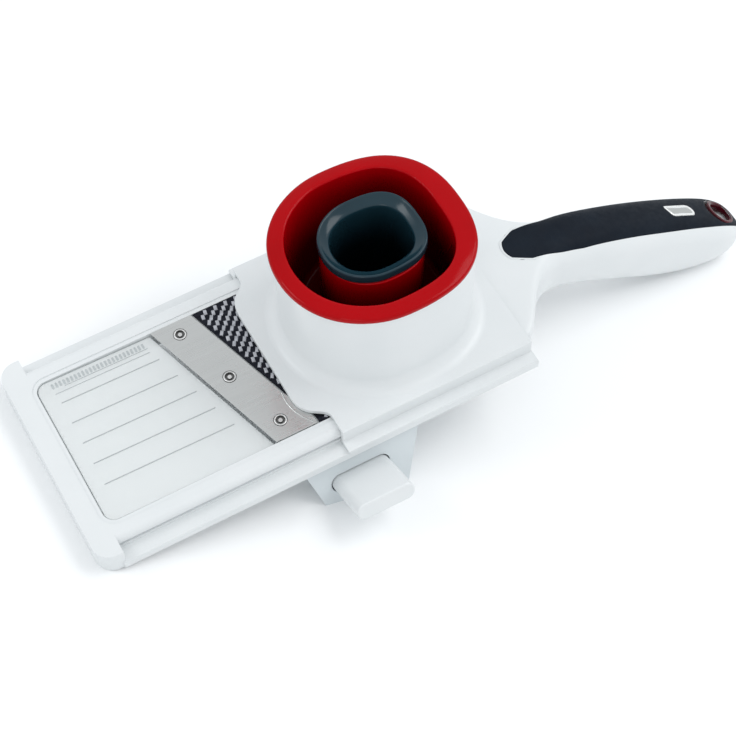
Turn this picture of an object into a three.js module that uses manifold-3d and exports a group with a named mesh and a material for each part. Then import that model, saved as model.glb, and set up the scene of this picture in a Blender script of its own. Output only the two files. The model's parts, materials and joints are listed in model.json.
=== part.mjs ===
// A hand-held mandoline slicer: a white platform with a soft-grip handle, a skewed
// steel blade, a clear tilting ramp, and a food carriage with two nested pushers.
// Units are millimetres. The platform is drawn flat (its top face at z = 0, +X towards
// the handle) and the whole assembly is then pitched so that it rests on a table.
import * as THREE from 'three';
import { mergeVertices } from 'three/addons/utils/BufferGeometryUtils.js';
import Module from 'manifold-3d';

const wasm = await Module();
wasm.setup();

// ---------------------------------------------------------------- driving sizes
const gap = 0.3; // clearance between neighbouring pieces
const overcut = 2; // how far a cutting tool runs past the face it cuts

const restPitch = THREE.MathUtils.degToRad(11.5); // platform against the table
const platformDepth = 13.5; // top face to underside
const restTrim = 0.8; // how much the table plane planes off the lowest edges

const halfWidth = 60; // over the side ledges
const railHalf = 52; // over the raised rails
const ledgeDrop = 8.5; // ledge below the top face
const endBlock = 12; // full-width block at the front end
const endCorner = 9; // radius of its corners
const ledgeEnd = 235; // where the side ledges stop
const windowHalf = 42.3; // inside width between the rails, halved
const windowCorner = 6;

const skew = 0.305; // blade edge: X gained per mm towards -Y
const edgeX = 87.2; // cutting edge on the centre line
const bladeDepth = 22; // blade plate, measured along X
const bladeThick = 1.2;
const bridgeFront = 4; // bridge starts this far behind the cutting edge
const bridgeDepth = 5.5; // underside of the blade bridge below the top face
const plateRear = 222; // rear end of the textured plate
const plateThick = 0.8;
const plateRecess = 1.5;
const pocketTop = 4.5; // underside pocket, below the top face
const pocketRear = 226;

const carriageFront = 129; // near side arm of the carriage
const carriageFrontFar = 126.5; // far side arm
const carriageNose = 116.5; // its bulged leading edge
const carriageRear = 233.5;
const deckThick = 2.3;
const wallThick = 2.2;

const barrelX = 175.7; // centre of the feed barrel
const rimTop = 64.8; // top of the pushers' rims above the platform
const barrelHalfX = 46.4;
const barrelHalfY = 43.6;
const barrelTop = 58.6;

const handleTip = 404.5;
const handleHalf = 15.6;

const footFront = 106; // foot housing along X, at its top
const footRear = 170;
const footTopHalf = 56;
const footSlope = THREE.MathUtils.degToRad(25.5); // its sides lean out going down
const footWall = 3;
const farBelow = 80; // lower than the table anywhere under the platform

const buttonWide = 31;
const buttonThick = 9;
const buttonOut = 28; // how far the button stands out of the housing
const selectorTravel = 6;

const hingeX = 16; // ramp hinge axis
const hingeZ = -5;

// ---------------------------------------------------------------- materials
function plastic(color, roughness, extra = {}) {
  return new THREE.MeshStandardMaterial({ color, roughness, metalness: 0, ...extra });
}

const white = plastic(0xe9edf0, 0.38);
const red = plastic(0xb3061a, 0.15);
const slate = plastic(0x1c3440, 0.2);
const softBlack = plastic(0x151b25, 0.75);
const darkRed = plastic(0x4d0614, 0.3);
const silver = plastic(0xb9bcb8, 0.35);
const clear = plastic(0xe6ecec, 0.1, { transparent: true, opacity: 0.55 });
const rubber = plastic(0x5e6f6b, 0.85);
const steel = new THREE.MeshStandardMaterial({ color: 0xb4b8b8, roughness: 0.3, metalness: 1 });
const darkSteel = new THREE.MeshStandardMaterial({ color: 0x5a5e68, roughness: 0.4, metalness: 1 });

// ---------------------------------------------------------------- solids
function solid(geometry) {
  const bare = geometry.clone();
  for (const name of Object.keys(bare.attributes)) {
    if (name !== 'position') bare.deleteAttribute(name);
  }
  const merged = mergeVertices(bare, 1e-4);
  return new wasm.Manifold(new wasm.Mesh({
    numProp: 3,
    vertProperties: new Float32Array(merged.attributes.position.array),
    triVerts: new Uint32Array(merged.index.array),
  }));
}

function geometryOf(manifold) {
  const mesh = manifold.getMesh();
  const geometry = new THREE.BufferGeometry();
  geometry.setAttribute('position', new THREE.BufferAttribute(mesh.vertProperties, 3));
  geometry.setIndex(new THREE.BufferAttribute(mesh.triVerts, 1));
  geometry.computeVertexNormals();
  return geometry;
}

function box(x0, x1, y0, y1, z0, z1) {
  const geometry = new THREE.BoxGeometry(x1 - x0, y1 - y0, z1 - z0);
  geometry.translate((x0 + x1) / 2, (y0 + y1) / 2, (z0 + z1) / 2);
  return solid(geometry);
}

// A prism of a shape in the XY plane between two heights.
function prism(shape, z0, z1, curveSegments = 8) {
  const geometry = new THREE.ExtrudeGeometry(shape, { depth: z1 - z0, bevelEnabled: false, curveSegments });
  geometry.translate(0, 0, z0);
  return solid(geometry);
}

// A prism of a shape drawn in the XZ plane, running from y0 to y1.
function sidePrism(shape, y0, y1) {
  const depth = y1 - y0;
  const geometry = new THREE.ExtrudeGeometry(shape, { depth, bevelEnabled: false, curveSegments: 8 });
  geometry.rotateX(Math.PI / 2);
  geometry.translate(0, y1, 0);
  return solid(geometry);
}

function cylinder(radius, z0, z1, x, y, segments = 24) {
  const geometry = new THREE.CylinderGeometry(radius, radius, z1 - z0, segments);
  geometry.rotateX(Math.PI / 2);
  geometry.translate(x, y, (z0 + z1) / 2);
  return solid(geometry);
}

// A cylinder along Y.
function pinSolid(radius, y0, y1, x, z, segments = 20) {
  const geometry = new THREE.CylinderGeometry(radius, radius, y1 - y0, segments);
  geometry.translate(x, (y0 + y1) / 2, z);
  return solid(geometry);
}

// Joins rings of equally many points, given counter-clockwise as seen from the
// side that the last ring faces, into one closed body.
function loft(rings) {
  const count = rings[0].length;
  const points = rings.flat();
  const index = [];
  for (let r = 0; r + 1 < rings.length; r += 1) {
    for (let i = 0; i < count; i += 1) {
      const a = r * count + i;
      const b = r * count + ((i + 1) % count);
      index.push(a, b, b + count, a, b + count, a + count);
    }
  }
  const last = (rings.length - 1) * count;
  for (let i = 1; i + 1 < count; i += 1) {
    index.push(0, i + 1, i);
    index.push(last, last + i, last + i + 1);
  }
  const geometry = new THREE.BufferGeometry().setFromPoints(points);
  geometry.setIndex(index);
  return solid(geometry);
}

function polygon(points) {
  return new THREE.Shape(points.map(([x, y]) => new THREE.Vector2(x, y)));
}

function roundedRectangle(x0, x1, y0, y1, radius) {
  const shape = new THREE.Shape();
  shape.moveTo(x0 + radius, y0);
  shape.lineTo(x1 - radius, y0);
  shape.absarc(x1 - radius, y0 + radius, radius, -Math.PI / 2, 0);
  shape.lineTo(x1, y1 - radius);
  shape.absarc(x1 - radius, y1 - radius, radius, 0, Math.PI / 2);
  shape.lineTo(x0 + radius, y1);
  shape.absarc(x0 + radius, y1 - radius, radius, Math.PI / 2, Math.PI);
  shape.lineTo(x0, y0 + radius);
  shape.absarc(x0 + radius, y0 + radius, radius, Math.PI, Math.PI * 1.5);
  return shape;
}

function mirrored(manifold) {
  return manifold.mirror([0, 1, 0]);
}

// X of the cutting edge, or of a line parallel to it, at a given Y.
function edgeAt(y, behind = 0) {
  return edgeX + behind - skew * y;
}

// A bar across the window parallel to the blade.
function skewBar(front, rear, halfY, z0, z1) {
  return prism(polygon([
    [edgeAt(-halfY, front), -halfY],
    [edgeAt(-halfY, rear), -halfY],
    [edgeAt(halfY, rear), halfY],
    [edgeAt(halfY, front), halfY],
  ]), z0, z1);
}

// ---------------------------------------------------------------- feed-tube outline
// Round towards the blade, squarer towards the handle.
const roundSide = 2.1;
const squareSide = 2.45;

function tubeRing(halfX, halfY, z, centre = barrelX) {
  const ring = [];
  const segments = 48;
  for (let i = 0; i < segments; i += 1) {
    const angle = (i / segments) * Math.PI * 2;
    const c = Math.cos(angle);
    const s = Math.sin(angle);
    const squareness = THREE.MathUtils.lerp(roundSide, squareSide, THREE.MathUtils.smoothstep(c, -0.5, 0.5));
    const power = 2 / squareness;
    ring.push(new THREE.Vector3(
      centre + halfX * Math.sign(c) * Math.abs(c) ** power,
      halfY * Math.sign(s) * Math.abs(s) ** power,
      z,
    ));
  }
  return ring;
}

// A stack of outlines [half X, half Y, z, centre X], lowest first.
function tubeSolid(levels) {
  return loft(levels.map((level) => tubeRing(...level)));
}

// ---------------------------------------------------------------- neck and handle
const handleTop = new THREE.SplineCurve([
  [228, 0], [244, -0.5], [258, -1.9], [270, -3.7], [288, -7], [306, -13], [332, -24.6],
  [359, -39.3], [384, -55.2], [396, -64.8], [402, -72], [handleTip, -77.5],
].map(([x, z]) => new THREE.Vector2(x, z)));
const handleBottom = new THREE.SplineCurve([
  [228, -platformDepth], [244, -15.5], [262, -28.5], [274, -37.5], [294, -47.8], [320, -63.3],
  [340, -75.5], [360, -84.8], [378, -89.4], [392, -89.8], [400, -86], [handleTip, -80.5],
].map(([x, z]) => new THREE.Vector2(x, z)));
const neckStart = new THREE.Vector2(236, 48.5); // X and half width
const neckEnd = new THREE.Vector2(280, 14.8);
const neckWidth = new THREE.CubicBezierCurve(
  neckStart, new THREE.Vector2(248, 42), new THREE.Vector2(255, 12.5), neckEnd,
);

// Height of a side-view curve at a given X.
function heightAt(curve, x) {
  let low = 0;
  let high = 1;
  for (let step = 0; step < 30; step += 1) {
    const middle = (low + high) / 2;
    if (curve.getPoint(middle).x < x) low = middle;
    else high = middle;
  }
  return curve.getPoint(low).y;
}

const tailStart = 360;

function handleHalfAt(x) {
  if (x < neckStart.x) return neckStart.y;
  if (x < neckEnd.x) return heightAt(neckWidth, x);
  if (x < tailStart) return THREE.MathUtils.mapLinear(x, neckEnd.x, tailStart, neckEnd.y, handleHalf);
  const along = (x - tailStart) / (handleTip + 1 - tailStart);
  return handleHalf * (1 - along ** 4) ** 0.5;
}

function handleRing(x) {
  const top = heightAt(handleTop, x);
  const bottom = heightAt(handleBottom, x);
  const power = 2 / THREE.MathUtils.lerp(12, 3, THREE.MathUtils.smoothstep(x, 240, 282));
  const ring = [];
  const segments = 32;
  for (let i = 0; i < segments; i += 1) {
    const angle = ((i + 0.5) / segments) * Math.PI * 2;
    const c = Math.cos(angle);
    const s = Math.sin(angle);
    ring.push(new THREE.Vector3(
      x,
      handleHalfAt(x) * Math.sign(c) * Math.abs(c) ** power,
      (top + bottom) / 2 + ((top - bottom) / 2) * Math.sign(s) * Math.abs(s) ** power,
    ));
  }
  return ring;
}

function handleBody() {
  const stations = [228, 236, 240, 244, 248, 252, 256, 260, 264, 269, 275, 282, 290, 300, 312, 324,
    336, 348, 360, 370, 379, 386, 392, 397, 400.5, 403, handleTip];
  return loft(stations.map(handleRing));
}

// The grip covers the handle above a line at this depth under its crown.
const gripDepth = 4.6;
const gripTipDepth = 1.4;
const gripFront = 250.7;
const tongueHalf = 10.2; // half width of its rounded front end
const tongueLong = 11;
const wrapStart = 292; // from here on the grip wraps down the handle's sides
const wrapHalf = 12;

function gripDepthAt(x) {
  const { lerp, smoothstep } = THREE.MathUtils;
  const front = lerp(gripTipDepth, gripDepth, smoothstep(x, gripFront - 6, gripFront + 26));
  return lerp(front, gripTipDepth, smoothstep(x, 335, 400));
}

function gripTool(clearance) {
  const rear = handleTip + 12; // well past the tip
  const wide = 30; // wider than the handle, on either side
  const above = 20;
  const deep = -120;
  const step = 8;
  const low = [];
  for (let x = gripFront - overcut; x <= handleTip + step; x += step) {
    low.push([x, heightAt(handleTop, Math.min(x, handleTip)) - gripDepthAt(x) - clearance]);
  }
  const profile = sidePrism(polygon([...low, [rear, above], [gripFront - overcut, above]]), -wide, wide);
  const tongue = new THREE.Shape();
  const start = gripFront - clearance;
  const full = gripFront + tongueLong;
  const half = tongueHalf + clearance;
  const wrap = wrapHalf + clearance;
  tongue.moveTo(start, 0);
  tongue.bezierCurveTo(start, -half * 0.6, start + tongueLong * 0.45, -half, full, -half);
  tongue.lineTo(wrapStart, -wrap);
  tongue.lineTo(wrapStart + overcut, -wide);
  tongue.lineTo(rear, -wide);
  tongue.lineTo(rear, wide);
  tongue.lineTo(wrapStart + overcut, wide);
  tongue.lineTo(wrapStart, wrap);
  tongue.lineTo(full, half);
  tongue.bezierCurveTo(start + tongueLong * 0.45, half, start, half * 0.6, start, 0);
  return profile.intersect(prism(tongue, deep, above));
}

// The hanging hole near the tip, and the red ring that lines it.
const ringX = 390.5;
const ringZ = -60.5;
const ringLean = restPitch; // the hole is upright when the slicer rests on a table
const ringOuter = 8.6;
const ringInner = 5.6;

function ringAxisSolid(radius, down, up) {
  const geometry = new THREE.CylinderGeometry(radius, radius, down + up, 32);
  geometry.rotateX(Math.PI / 2);
  geometry.translate(0, 0, (up - down) / 2);
  geometry.rotateY(ringLean);
  geometry.translate(ringX, 0, ringZ);
  return solid(geometry);
}

function hangRing() {
  const sleeve = ringAxisSolid(ringOuter, 8, 12).subtract(ringAxisSolid(ringInner, 12, 20));
  return sleeve.intersect(handleBody());
}

// The badge is a small plate let into the grip.
const badgeX = 363.2;
const badgeHalfLong = 10;
const badgeHalfWide = 3.6;

function badgeSolid(clearance) {
  const long = badgeHalfLong + clearance;
  const wide = badgeHalfWide + clearance;
  const geometry = new THREE.ExtrudeGeometry(
    roundedRectangle(-long, long, -wide, wide, 2.4),
    { depth: 3, bevelEnabled: false, curveSegments: 6 },
  );
  const slope = Math.atan2(heightAt(handleTop, badgeX - 8) - heightAt(handleTop, badgeX + 8), 16);
  geometry.translate(0, 0, -2 - clearance);
  geometry.rotateY(slope);
  geometry.translate(badgeX, 0, heightAt(handleTop, badgeX));
  return solid(geometry);
}

function gripSolid() {
  return handleBody()
    .intersect(gripTool(0))
    .subtract(ringAxisSolid(ringOuter + gap, 20, 30))
    .subtract(badgeSolid(gap));
}

// ---------------------------------------------------------------- platform
// Everything lower than the table plane, as a solid in platform coordinates.
function belowTable() {
  const geometry = new THREE.BoxGeometry(900, 400, 200);
  geometry.translate(0, 0, -100);
  geometry.rotateY(restPitch);
  geometry.translate(0, 0, tableZ(0));
  return solid(geometry);
}

// Platform-frame height of the table plane below a given X.
function tableZ(x) {
  return -platformDepth + restTrim - Math.tan(restPitch) * x;
}

function frontBlock() {
  const side = halfWidth - 0.8;
  const shape = new THREE.Shape();
  shape.moveTo(endBlock, side);
  shape.lineTo(endCorner, side);
  shape.absarc(endCorner, side - endCorner, endCorner, Math.PI / 2, Math.PI);
  shape.lineTo(0, -side + endCorner);
  shape.absarc(endCorner, -side + endCorner, endCorner, Math.PI, Math.PI * 1.5);
  shape.lineTo(endBlock, -side);
  return prism(shape, -platformDepth, 0);
}

function railGrooves() {
  const groove = box(endBlock, carriageRear + overcut, railHalf - 1.6, railHalf + 0.4, -6.6, -4.4);
  return groove.add(mirrored(groove));
}

const screwBehind = 10.2; // screws behind the cutting edge
const screwYs = [34.3, 1, -32.2];

function screwSpots() {
  return screwYs.map((y) => [edgeAt(y, screwBehind), y]);
}

const footScrewX = [footFront + 14, footRear - 17];
const footScrewY = 46;
const footScrewSpots = [1, -1].flatMap((side) => footScrewX.map((x) => [x, side * footScrewY]));

function frameSolid() {
  let frame = frontBlock()
    .add(box(endBlock - 1, ledgeEnd, -halfWidth, halfWidth, -platformDepth, -ledgeDrop))
    .add(box(endBlock - 1, ledgeEnd, -railHalf, railHalf, -platformDepth, 0))
    .add(handleBody());
  const rear = edgeAt(-windowHalf, bladeDepth) + 4;
  frame = frame
    .subtract(prism(roundedRectangle(endBlock, rear + 20, -windowHalf, windowHalf, windowCorner),
      -platformDepth - overcut, overcut))
    .add(box(rear - 2, rear + 24, -windowHalf - 1, windowHalf + 1, -platformDepth, 0));
  // underside pocket, then the recess that carries the textured plate
  frame = frame
    .subtract(box(rear - 4, pocketRear, -windowHalf, windowHalf, -platformDepth - overcut, -pocketTop))
    .add(skewBar(bridgeFront, rear + 1 - edgeX, windowHalf + 1, -pocketTop, 0)
      .intersect(box(0, rear + 1, -windowHalf - 1, windowHalf + 1, -20, 1)))
    .add(skewBar(bridgeFront, bladeDepth, windowHalf + 1, -bridgeDepth, 0))
    .subtract(skewBar(-10, bladeDepth + gap, windowHalf, -bladeThick - gap, overcut))
    .subtract(plateRecessSolid(0, -plateRecess, overcut))
    .subtract(lobeSolid(gap * 2, -plateRecess, overcut))
    .subtract(railGrooves());
  for (const [x, y] of screwSpots()) {
    frame = frame.subtract(cylinder(1.5 + gap, -10, 0, x, y, 12));
  }
  for (const [x, y] of footScrewSpots) {
    frame = frame.subtract(cylinder(1.5 + gap, -platformDepth - 1, -platformDepth + 6, x, y, 12));
  }
  for (const side of [-1, 1]) {
    const inner = side * (windowHalf - 1);
    const outer = side * (windowHalf + 5);
    frame = frame.subtract(
      pinSolid(1.5 + gap, Math.min(inner, outer), Math.max(inner, outer), hingeX, hingeZ, 16),
    );
  }
  return frame
    .subtract(gripTool(gap))
    .subtract(ringAxisSolid(ringOuter + gap, 8 + gap, 30))
    .subtract(ringAxisSolid(ringInner, 60, 30))
    .subtract(belowTable());
}

// ---------------------------------------------------------------- blade and plate
function plateRecessSolid(inset, z0, z1) {
  return prism(polygon([
    [edgeAt(-windowHalf + inset, bladeDepth + gap * 2 + inset), -windowHalf + inset],
    [plateRear - inset, -windowHalf + inset],
    [plateRear - inset, windowHalf - inset],
    [edgeAt(windowHalf - inset, bladeDepth + gap * 2 + inset), windowHalf - inset],
  ]), z0, z1);
}

// A steel plate with rows of low raised bosses that keep food from sticking.
function texturedPlate() {
  const seat = -plateRecess + gap;
  let plate = plateRecessSolid(gap, seat, seat + plateThick);
  const pitchY = 12;
  const pitchX = 13;
  for (let row = 0; row < 8; row += 1) {
    for (let column = -3; column <= 3; column += 1) {
      const y = column * pitchY + (row % 2 ? pitchY / 4 : -pitchY / 4);
      const x = 122 + row * pitchX;
      if (x < edgeAt(y, bladeDepth + 4)) continue;
      plate = plate.add(box(x - 1, x + 1, y - 1.6, y + 1.6, seat + 0.2, 0));
    }
  }
  return plate.subtract(lobeSolid(gap * 3, -overcut, overcut));
}

// The blade's rear edge bulges towards the handle between these two Ys.
const lobeStart = -20;
const lobeEnd = -42;
const lobeReach = 3.4;

function lobeSolid(clearance, z0, z1) {
  const points = [];
  const steps = 12;
  for (let i = 0; i <= steps; i += 1) {
    const y = THREE.MathUtils.lerp(lobeStart, lobeEnd, i / steps);
    const bulge = lobeReach * Math.abs(Math.sin((Math.PI * i) / steps)) ** 0.8;
    points.push([edgeAt(y, bladeDepth + clearance) + bulge, y]);
  }
  points.push([edgeAt(lobeEnd, bladeDepth - overcut), lobeEnd]);
  points.push([edgeAt(lobeStart, bladeDepth - overcut), lobeStart]);
  return prism(polygon(points), z0, z1);
}

function bladeSolid() {
  const top = 0;
  const half = windowHalf - gap;
  const nose = 1.6;
  const body = skewBar(nose, bladeDepth, half, top - bladeThick, top);
  const section = polygon([[0, top - 0.2], [nose, top - bladeThick], [nose, top], [0, top]]);
  const bevel = sidePrism(section, -half, half);
  // lay the straight bevel along the skewed edge
  const sheared = bevel.transform([1, 0, 0, 0, -skew, 1, 0, 0, 0, 0, 1, 0, edgeX, 0, 0, 1]);
  let blade = body.add(sheared).add(lobeSolid(0, top - bladeThick, top));
  for (const [x, y] of screwSpots()) {
    blade = blade.subtract(cylinder(3.2 + gap, -0.9, overcut, x, y));
    blade = blade.subtract(cylinder(1.5 + gap, -4, overcut, x, y, 12));
  }
  return blade;
}

function bladeScrew([x, y]) {
  const head = cylinder(3.2, -0.6, 0, x, y);
  const shank = cylinder(1.5, -4.6, -0.3, x, y, 12);
  const recess = cylinder(1.3, -0.35, 1, x, y, 6);
  return head.add(shank).subtract(recess);
}

// ---------------------------------------------------------------- ramp
const rampThick = 2.6;
const rampFrontZ = -1.2;
const rampRearZ = -3;
const rampSide = windowHalf - 0.5;
const rampFront = endBlock + 0.6;
const rampGap = 1.5; // slot between ramp and cutting edge
const ribYs = [27.7, 15.2, 2.7, -9.8, -22.3];

function rampProfile(z0, z1) {
  const rearX = edgeAt(-rampSide, 5);
  const slope = (rampRearZ - rampFrontZ) / (edgeX - rampFront);
  const drop = slope * (rearX - rampFront);
  return sidePrism(polygon([
    [rampFront, rampFrontZ + z0], [rearX, rampFrontZ + drop + z0],
    [rearX, rampFrontZ + drop + z1], [rampFront, rampFrontZ + z1],
  ]), -rampSide, rampSide);
}

function rampOutline() {
  const outline = roundedRectangle(rampFront, 160, -rampSide, rampSide, windowCorner - 0.8);
  return prism(outline, -20, 20).subtract(skewBar(-rampGap, 200, rampSide + 2, -21, 21));
}

function rampSolid() {
  let ramp = rampProfile(-rampThick, 0);
  for (const y of ribYs) {
    ramp = ramp.add(rampProfile(-1, 0.5).intersect(box(20, 200, y - 0.4, y + 0.4, -20, 20)));
  }
  for (const side of [-1, 1]) {
    const lug = box(hingeX - 3, hingeX + 3, side > 0 ? rampSide - 5 : -rampSide,
      side > 0 ? rampSide : -rampSide + 5, hingeZ - 3, hingeZ + 2);
    const bore = pinSolid(1.5 + gap, -rampSide - 1, rampSide + 1, hingeX, hingeZ, 16)
      .intersect(box(0, 50, side > 0 ? 30 : -50, side > 0 ? 50 : -30, -20, 20));
    ramp = ramp.add(lug).subtract(bore);
  }
  return ramp.intersect(rampOutline());
}

function hingePin(side) {
  const inner = side * (rampSide - 5.5);
  const outer = side * (windowHalf + 4);
  return pinSolid(1.5, Math.min(inner, outer), Math.max(inner, outer), hingeX, hingeZ, 16);
}

// The arm under the ramp that rides on the selector's wedge.
const armY = -36;
const armHalf = 4;
const armTop = -9.6;
const armBottom = -12.6;
const followX = 130; // the follower bar that reaches out over the wedge
const followHalf = 4;
const followOut = -50.6;
const followZ = -31;
const followThick = 3;

function liftArm() {
  const arm = sidePrism(polygon([
    [60, -5.4], [92, -6.2], [98, armTop], [followX + followHalf, armTop],
    [followX + followHalf, armBottom], [96, armBottom], [60, -8.4],
  ]), armY - armHalf, armY + armHalf);
  const post = box(followX - followHalf, followX + followHalf, armY - armHalf, armY + armHalf,
    followZ, armBottom + 1);
  const bar = box(followX - followHalf, followX + followHalf, followOut, armY + armHalf,
    followZ, followZ + followThick);
  return arm.add(post).add(bar);
}

// ---------------------------------------------------------------- foot
// The housing's end walls close in going down, by this much per mm.
const taperFront = 0.3;
const taperRear = 0.45;

function footOutline(inset, top, bottom) {
  const spread = Math.tan(footSlope);
  const rings = [bottom, top].map((z) => {
    const down = -platformDepth - gap - z;
    const half = footTopHalf + spread * down - inset;
    const front = footFront + taperFront * down + inset;
    const back = footRear - taperRear * down - inset;
    return [[front, -half], [back, -half], [back, half], [front, half]]
      .map(([x, y]) => new THREE.Vector3(x, y, z));
  });
  return loft(rings);
}

const buttonX = 134;
const buttonRootZ = -27.8;

// Moves a solid drawn along +Z, at the origin, to the button's inclined axis.
function onButtonAxis(manifold) {
  const leanOut = Math.PI / 2 - footSlope;
  const down = -platformDepth - gap - buttonRootZ;
  const rootY = -(footTopHalf + Math.tan(footSlope) * down);
  return manifold
    .rotate([THREE.MathUtils.radToDeg(leanOut), 0, 0])
    .translate([buttonX, rootY, buttonRootZ]);
}

function stadium(wide, thick, z0, z1) {
  return prism(roundedRectangle(-wide / 2, wide / 2, -thick / 2, thick / 2, thick / 2 - 0.01), z0, z1, 10);
}

// The flat stem behind the button, with the wedge on top that lifts the arm.
// Along the stem, -Z points into the housing.
const buttonInner = 5; // the button's own length inside the wall
const stemWide = 12;
const stemThick = 4;
const stemLong = 13.4;
const wedgeRise = 2.6;

function stemSolid() {
  const low = -stemThick / 2;
  const high = stemThick / 2;
  const root = -buttonInner - gap;
  const profile = polygon([
    [-stemLong, low], [root, low], [root, high + wedgeRise], [-stemLong + 0.8, high], [-stemLong, high],
  ]);
  return prism(profile, -stemWide / 2, stemWide / 2).rotate([0, -90, 0]);
}

// The pocket in the housing that the button slides in.
const buttonPlay = 0.6;

function buttonPocket() {
  const deep = -(buttonInner + selectorTravel + 1);
  return stadium(buttonWide + buttonPlay * 2, buttonThick + buttonPlay * 2, deep, buttonOut);
}

// The straight channel that the stem slides in.
function stemChannel() {
  const wide = stemWide / 2 + 1;
  const thick = stemThick / 2 + 1;
  return box(-wide, wide, -thick, thick + wedgeRise, -stemLong - selectorTravel - 1, -buttonInner);
}

function footHousing() {
  const deep = -farBelow;
  let foot = footOutline(0, -platformDepth - gap, deep)
    .subtract(footOutline(footWall, -platformDepth + overcut, deep - overcut));
  const top = -platformDepth - gap;
  for (const [x, y] of footScrewSpots) {
    const wallX = x < (footFront + footRear) / 2 ? footFront : footRear;
    const web = box(Math.min(x, wallX), Math.max(x, wallX), y - 1.2, y + 1.2, top - 8, top);
    foot = foot.add(cylinder(4.5, top - 8, top, x, y, 20).add(web).intersect(footOutline(0.01, top, deep)));
  }
  for (const [x, y] of footScrewSpots) {
    foot = foot
      .subtract(cylinder(1.5 + gap, deep, 0, x, y, 12))
      .subtract(cylinder(3 + gap, deep, -platformDepth - gap - 4, x, y, 20));
  }
  return foot
    .add(padShelf())
    .subtract(onButtonAxis(buttonPocket()))
    .subtract(onButtonAxis(stemChannel()))
    .subtract(padPockets())
    .subtract(belowTable());
}

// Solid heels inside the housing, over which the rubber pads are pressed.
const padFront = 122;
const padRear = 152;
const padInner = 55;
const padThick = 2.5;
const shelfHigh = 4;

function tableSlab(x0, x1, y0, y1, above0, above1) {
  const geometry = new THREE.BoxGeometry(x1 - x0, y1 - y0, above1 - above0);
  geometry.translate(0, 0, (above0 + above1) / 2);
  geometry.rotateY(restPitch);
  geometry.translate((x0 + x1) / 2, (y0 + y1) / 2, tableZ((x0 + x1) / 2));
  return solid(geometry);
}

function padShelf() {
  const shelf = tableSlab(footFront - 5, footRear, padInner - 1.5, 90, -3, shelfHigh);
  return shelf.add(mirrored(shelf)).intersect(footOutline(0.01, -platformDepth - gap, -farBelow));
}

const padWide = 8;

function pad(clearance) {
  return tableSlab(padFront - clearance, padRear + clearance, padInner - clearance,
    padInner + padWide + clearance, clearance ? -2 : 0, padThick + clearance);
}

function padPockets() {
  return pad(gap).add(mirrored(pad(gap)));
}

function footScrew([x, y]) {
  const seat = -platformDepth - gap - 4;
  const head = cylinder(3, seat - gap - 2, seat - gap, x, y, 20);
  const shank = cylinder(1.5, seat - gap - 1, -platformDepth + 5, x, y, 12);
  return head.add(shank).subtract(cylinder(1.2, seat - 4, seat - gap - 1.2, x, y, 6));
}

// ---------------------------------------------------------------- selector
function selectorButton() {
  return onButtonAxis(stadium(buttonWide, buttonThick, -buttonInner, buttonOut));
}

function selectorWedge() {
  return onButtonAxis(stemSolid());
}

// ---------------------------------------------------------------- carriage
function deckOutline() {
  const side = railHalf + gap + wallThick;
  const far = 48; // where the front edge starts to curve, beside each rail
  const near = -44.5;
  const shape = new THREE.Shape();
  shape.moveTo(carriageRear, -side);
  shape.lineTo(carriageRear, side);
  shape.lineTo(carriageFrontFar, side);
  shape.lineTo(carriageFrontFar, far);
  shape.bezierCurveTo(carriageFrontFar, far - 8, carriageNose, far - 5, carriageNose, far - 20);
  shape.lineTo(carriageNose, near + 20);
  shape.bezierCurveTo(carriageNose, near + 5, carriageFront, near + 8, carriageFront, near);
  shape.lineTo(carriageFront, -side);
  return shape;
}

// The side arm that wraps over the far rail, with the tongue that runs in its groove.
function sideArm(front, top) {
  const side = railHalf + gap;
  const low = -ledgeDrop + gap;
  return box(front, carriageRear, side, side + wallThick, low, top)
    .add(box(front, carriageRear, side, halfWidth + 0.6, low, low + 2))
    .add(box(front + 2, carriageRear - 2, railHalf - 1.3, side + 1, -6.3, -4.7));
}

function carriageSolid() {
  const deckZ = gap;
  const deckTop = deckZ + deckThick;
  const barrel = tubeSolid([
    [barrelHalfX + 6.5, barrelHalfY + 6.5, deckZ], [barrelHalfX + 6.5, barrelHalfY + 6.5, deckTop],
    [barrelHalfX + 3.2, barrelHalfY + 3.2, deckTop + 1.6],
    [barrelHalfX + 1.2, barrelHalfY + 1.2, deckTop + 4.6],
    [barrelHalfX + 0.3, barrelHalfY + 0.3, deckTop + 9], [barrelHalfX, barrelHalfY, barrelTop],
  ]);
  const bore = tubeSolid([
    [barrelHalfX - wallThick, barrelHalfY - wallThick, -overcut],
    [barrelHalfX - wallThick, barrelHalfY - wallThick, barrelTop + overcut],
  ]);
  return prism(deckOutline(), deckZ, deckTop)
    .add(sideArm(carriageFrontFar, deckTop))
    .add(mirrored(sideArm(carriageFront, deckTop)))
    .add(barrel)
    .subtract(bore);
}

// ---------------------------------------------------------------- pushers
const pusherFloor = 6; // underside of both pushers above the platform
const floorThick = 2.4;
const sleeveX = barrelX - 1.3; // the sleeve and the small pusher sit a little forward
const sleeveHalfX = 22.6;
const sleeveHalfY = 21.2;
const shellThick = 1.8;

// Small pins on a pusher's face that hold the food.
function foodPins(spots, centre) {
  return spots.map(([x, y]) => {
    const pin = new THREE.CylinderGeometry(1.1, 0.3, 3.2, 6);
    pin.rotateX(Math.PI / 2);
    pin.translate(centre + x, y, pusherFloor - 1.4);
    return solid(pin);
  });
}

function ringSpots(count, radius) {
  return Array.from({ length: count }, (_, i) => {
    const angle = ((i + 0.5) / count) * Math.PI * 2;
    return [radius * Math.cos(angle), radius * Math.sin(angle)];
  });
}

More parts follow.
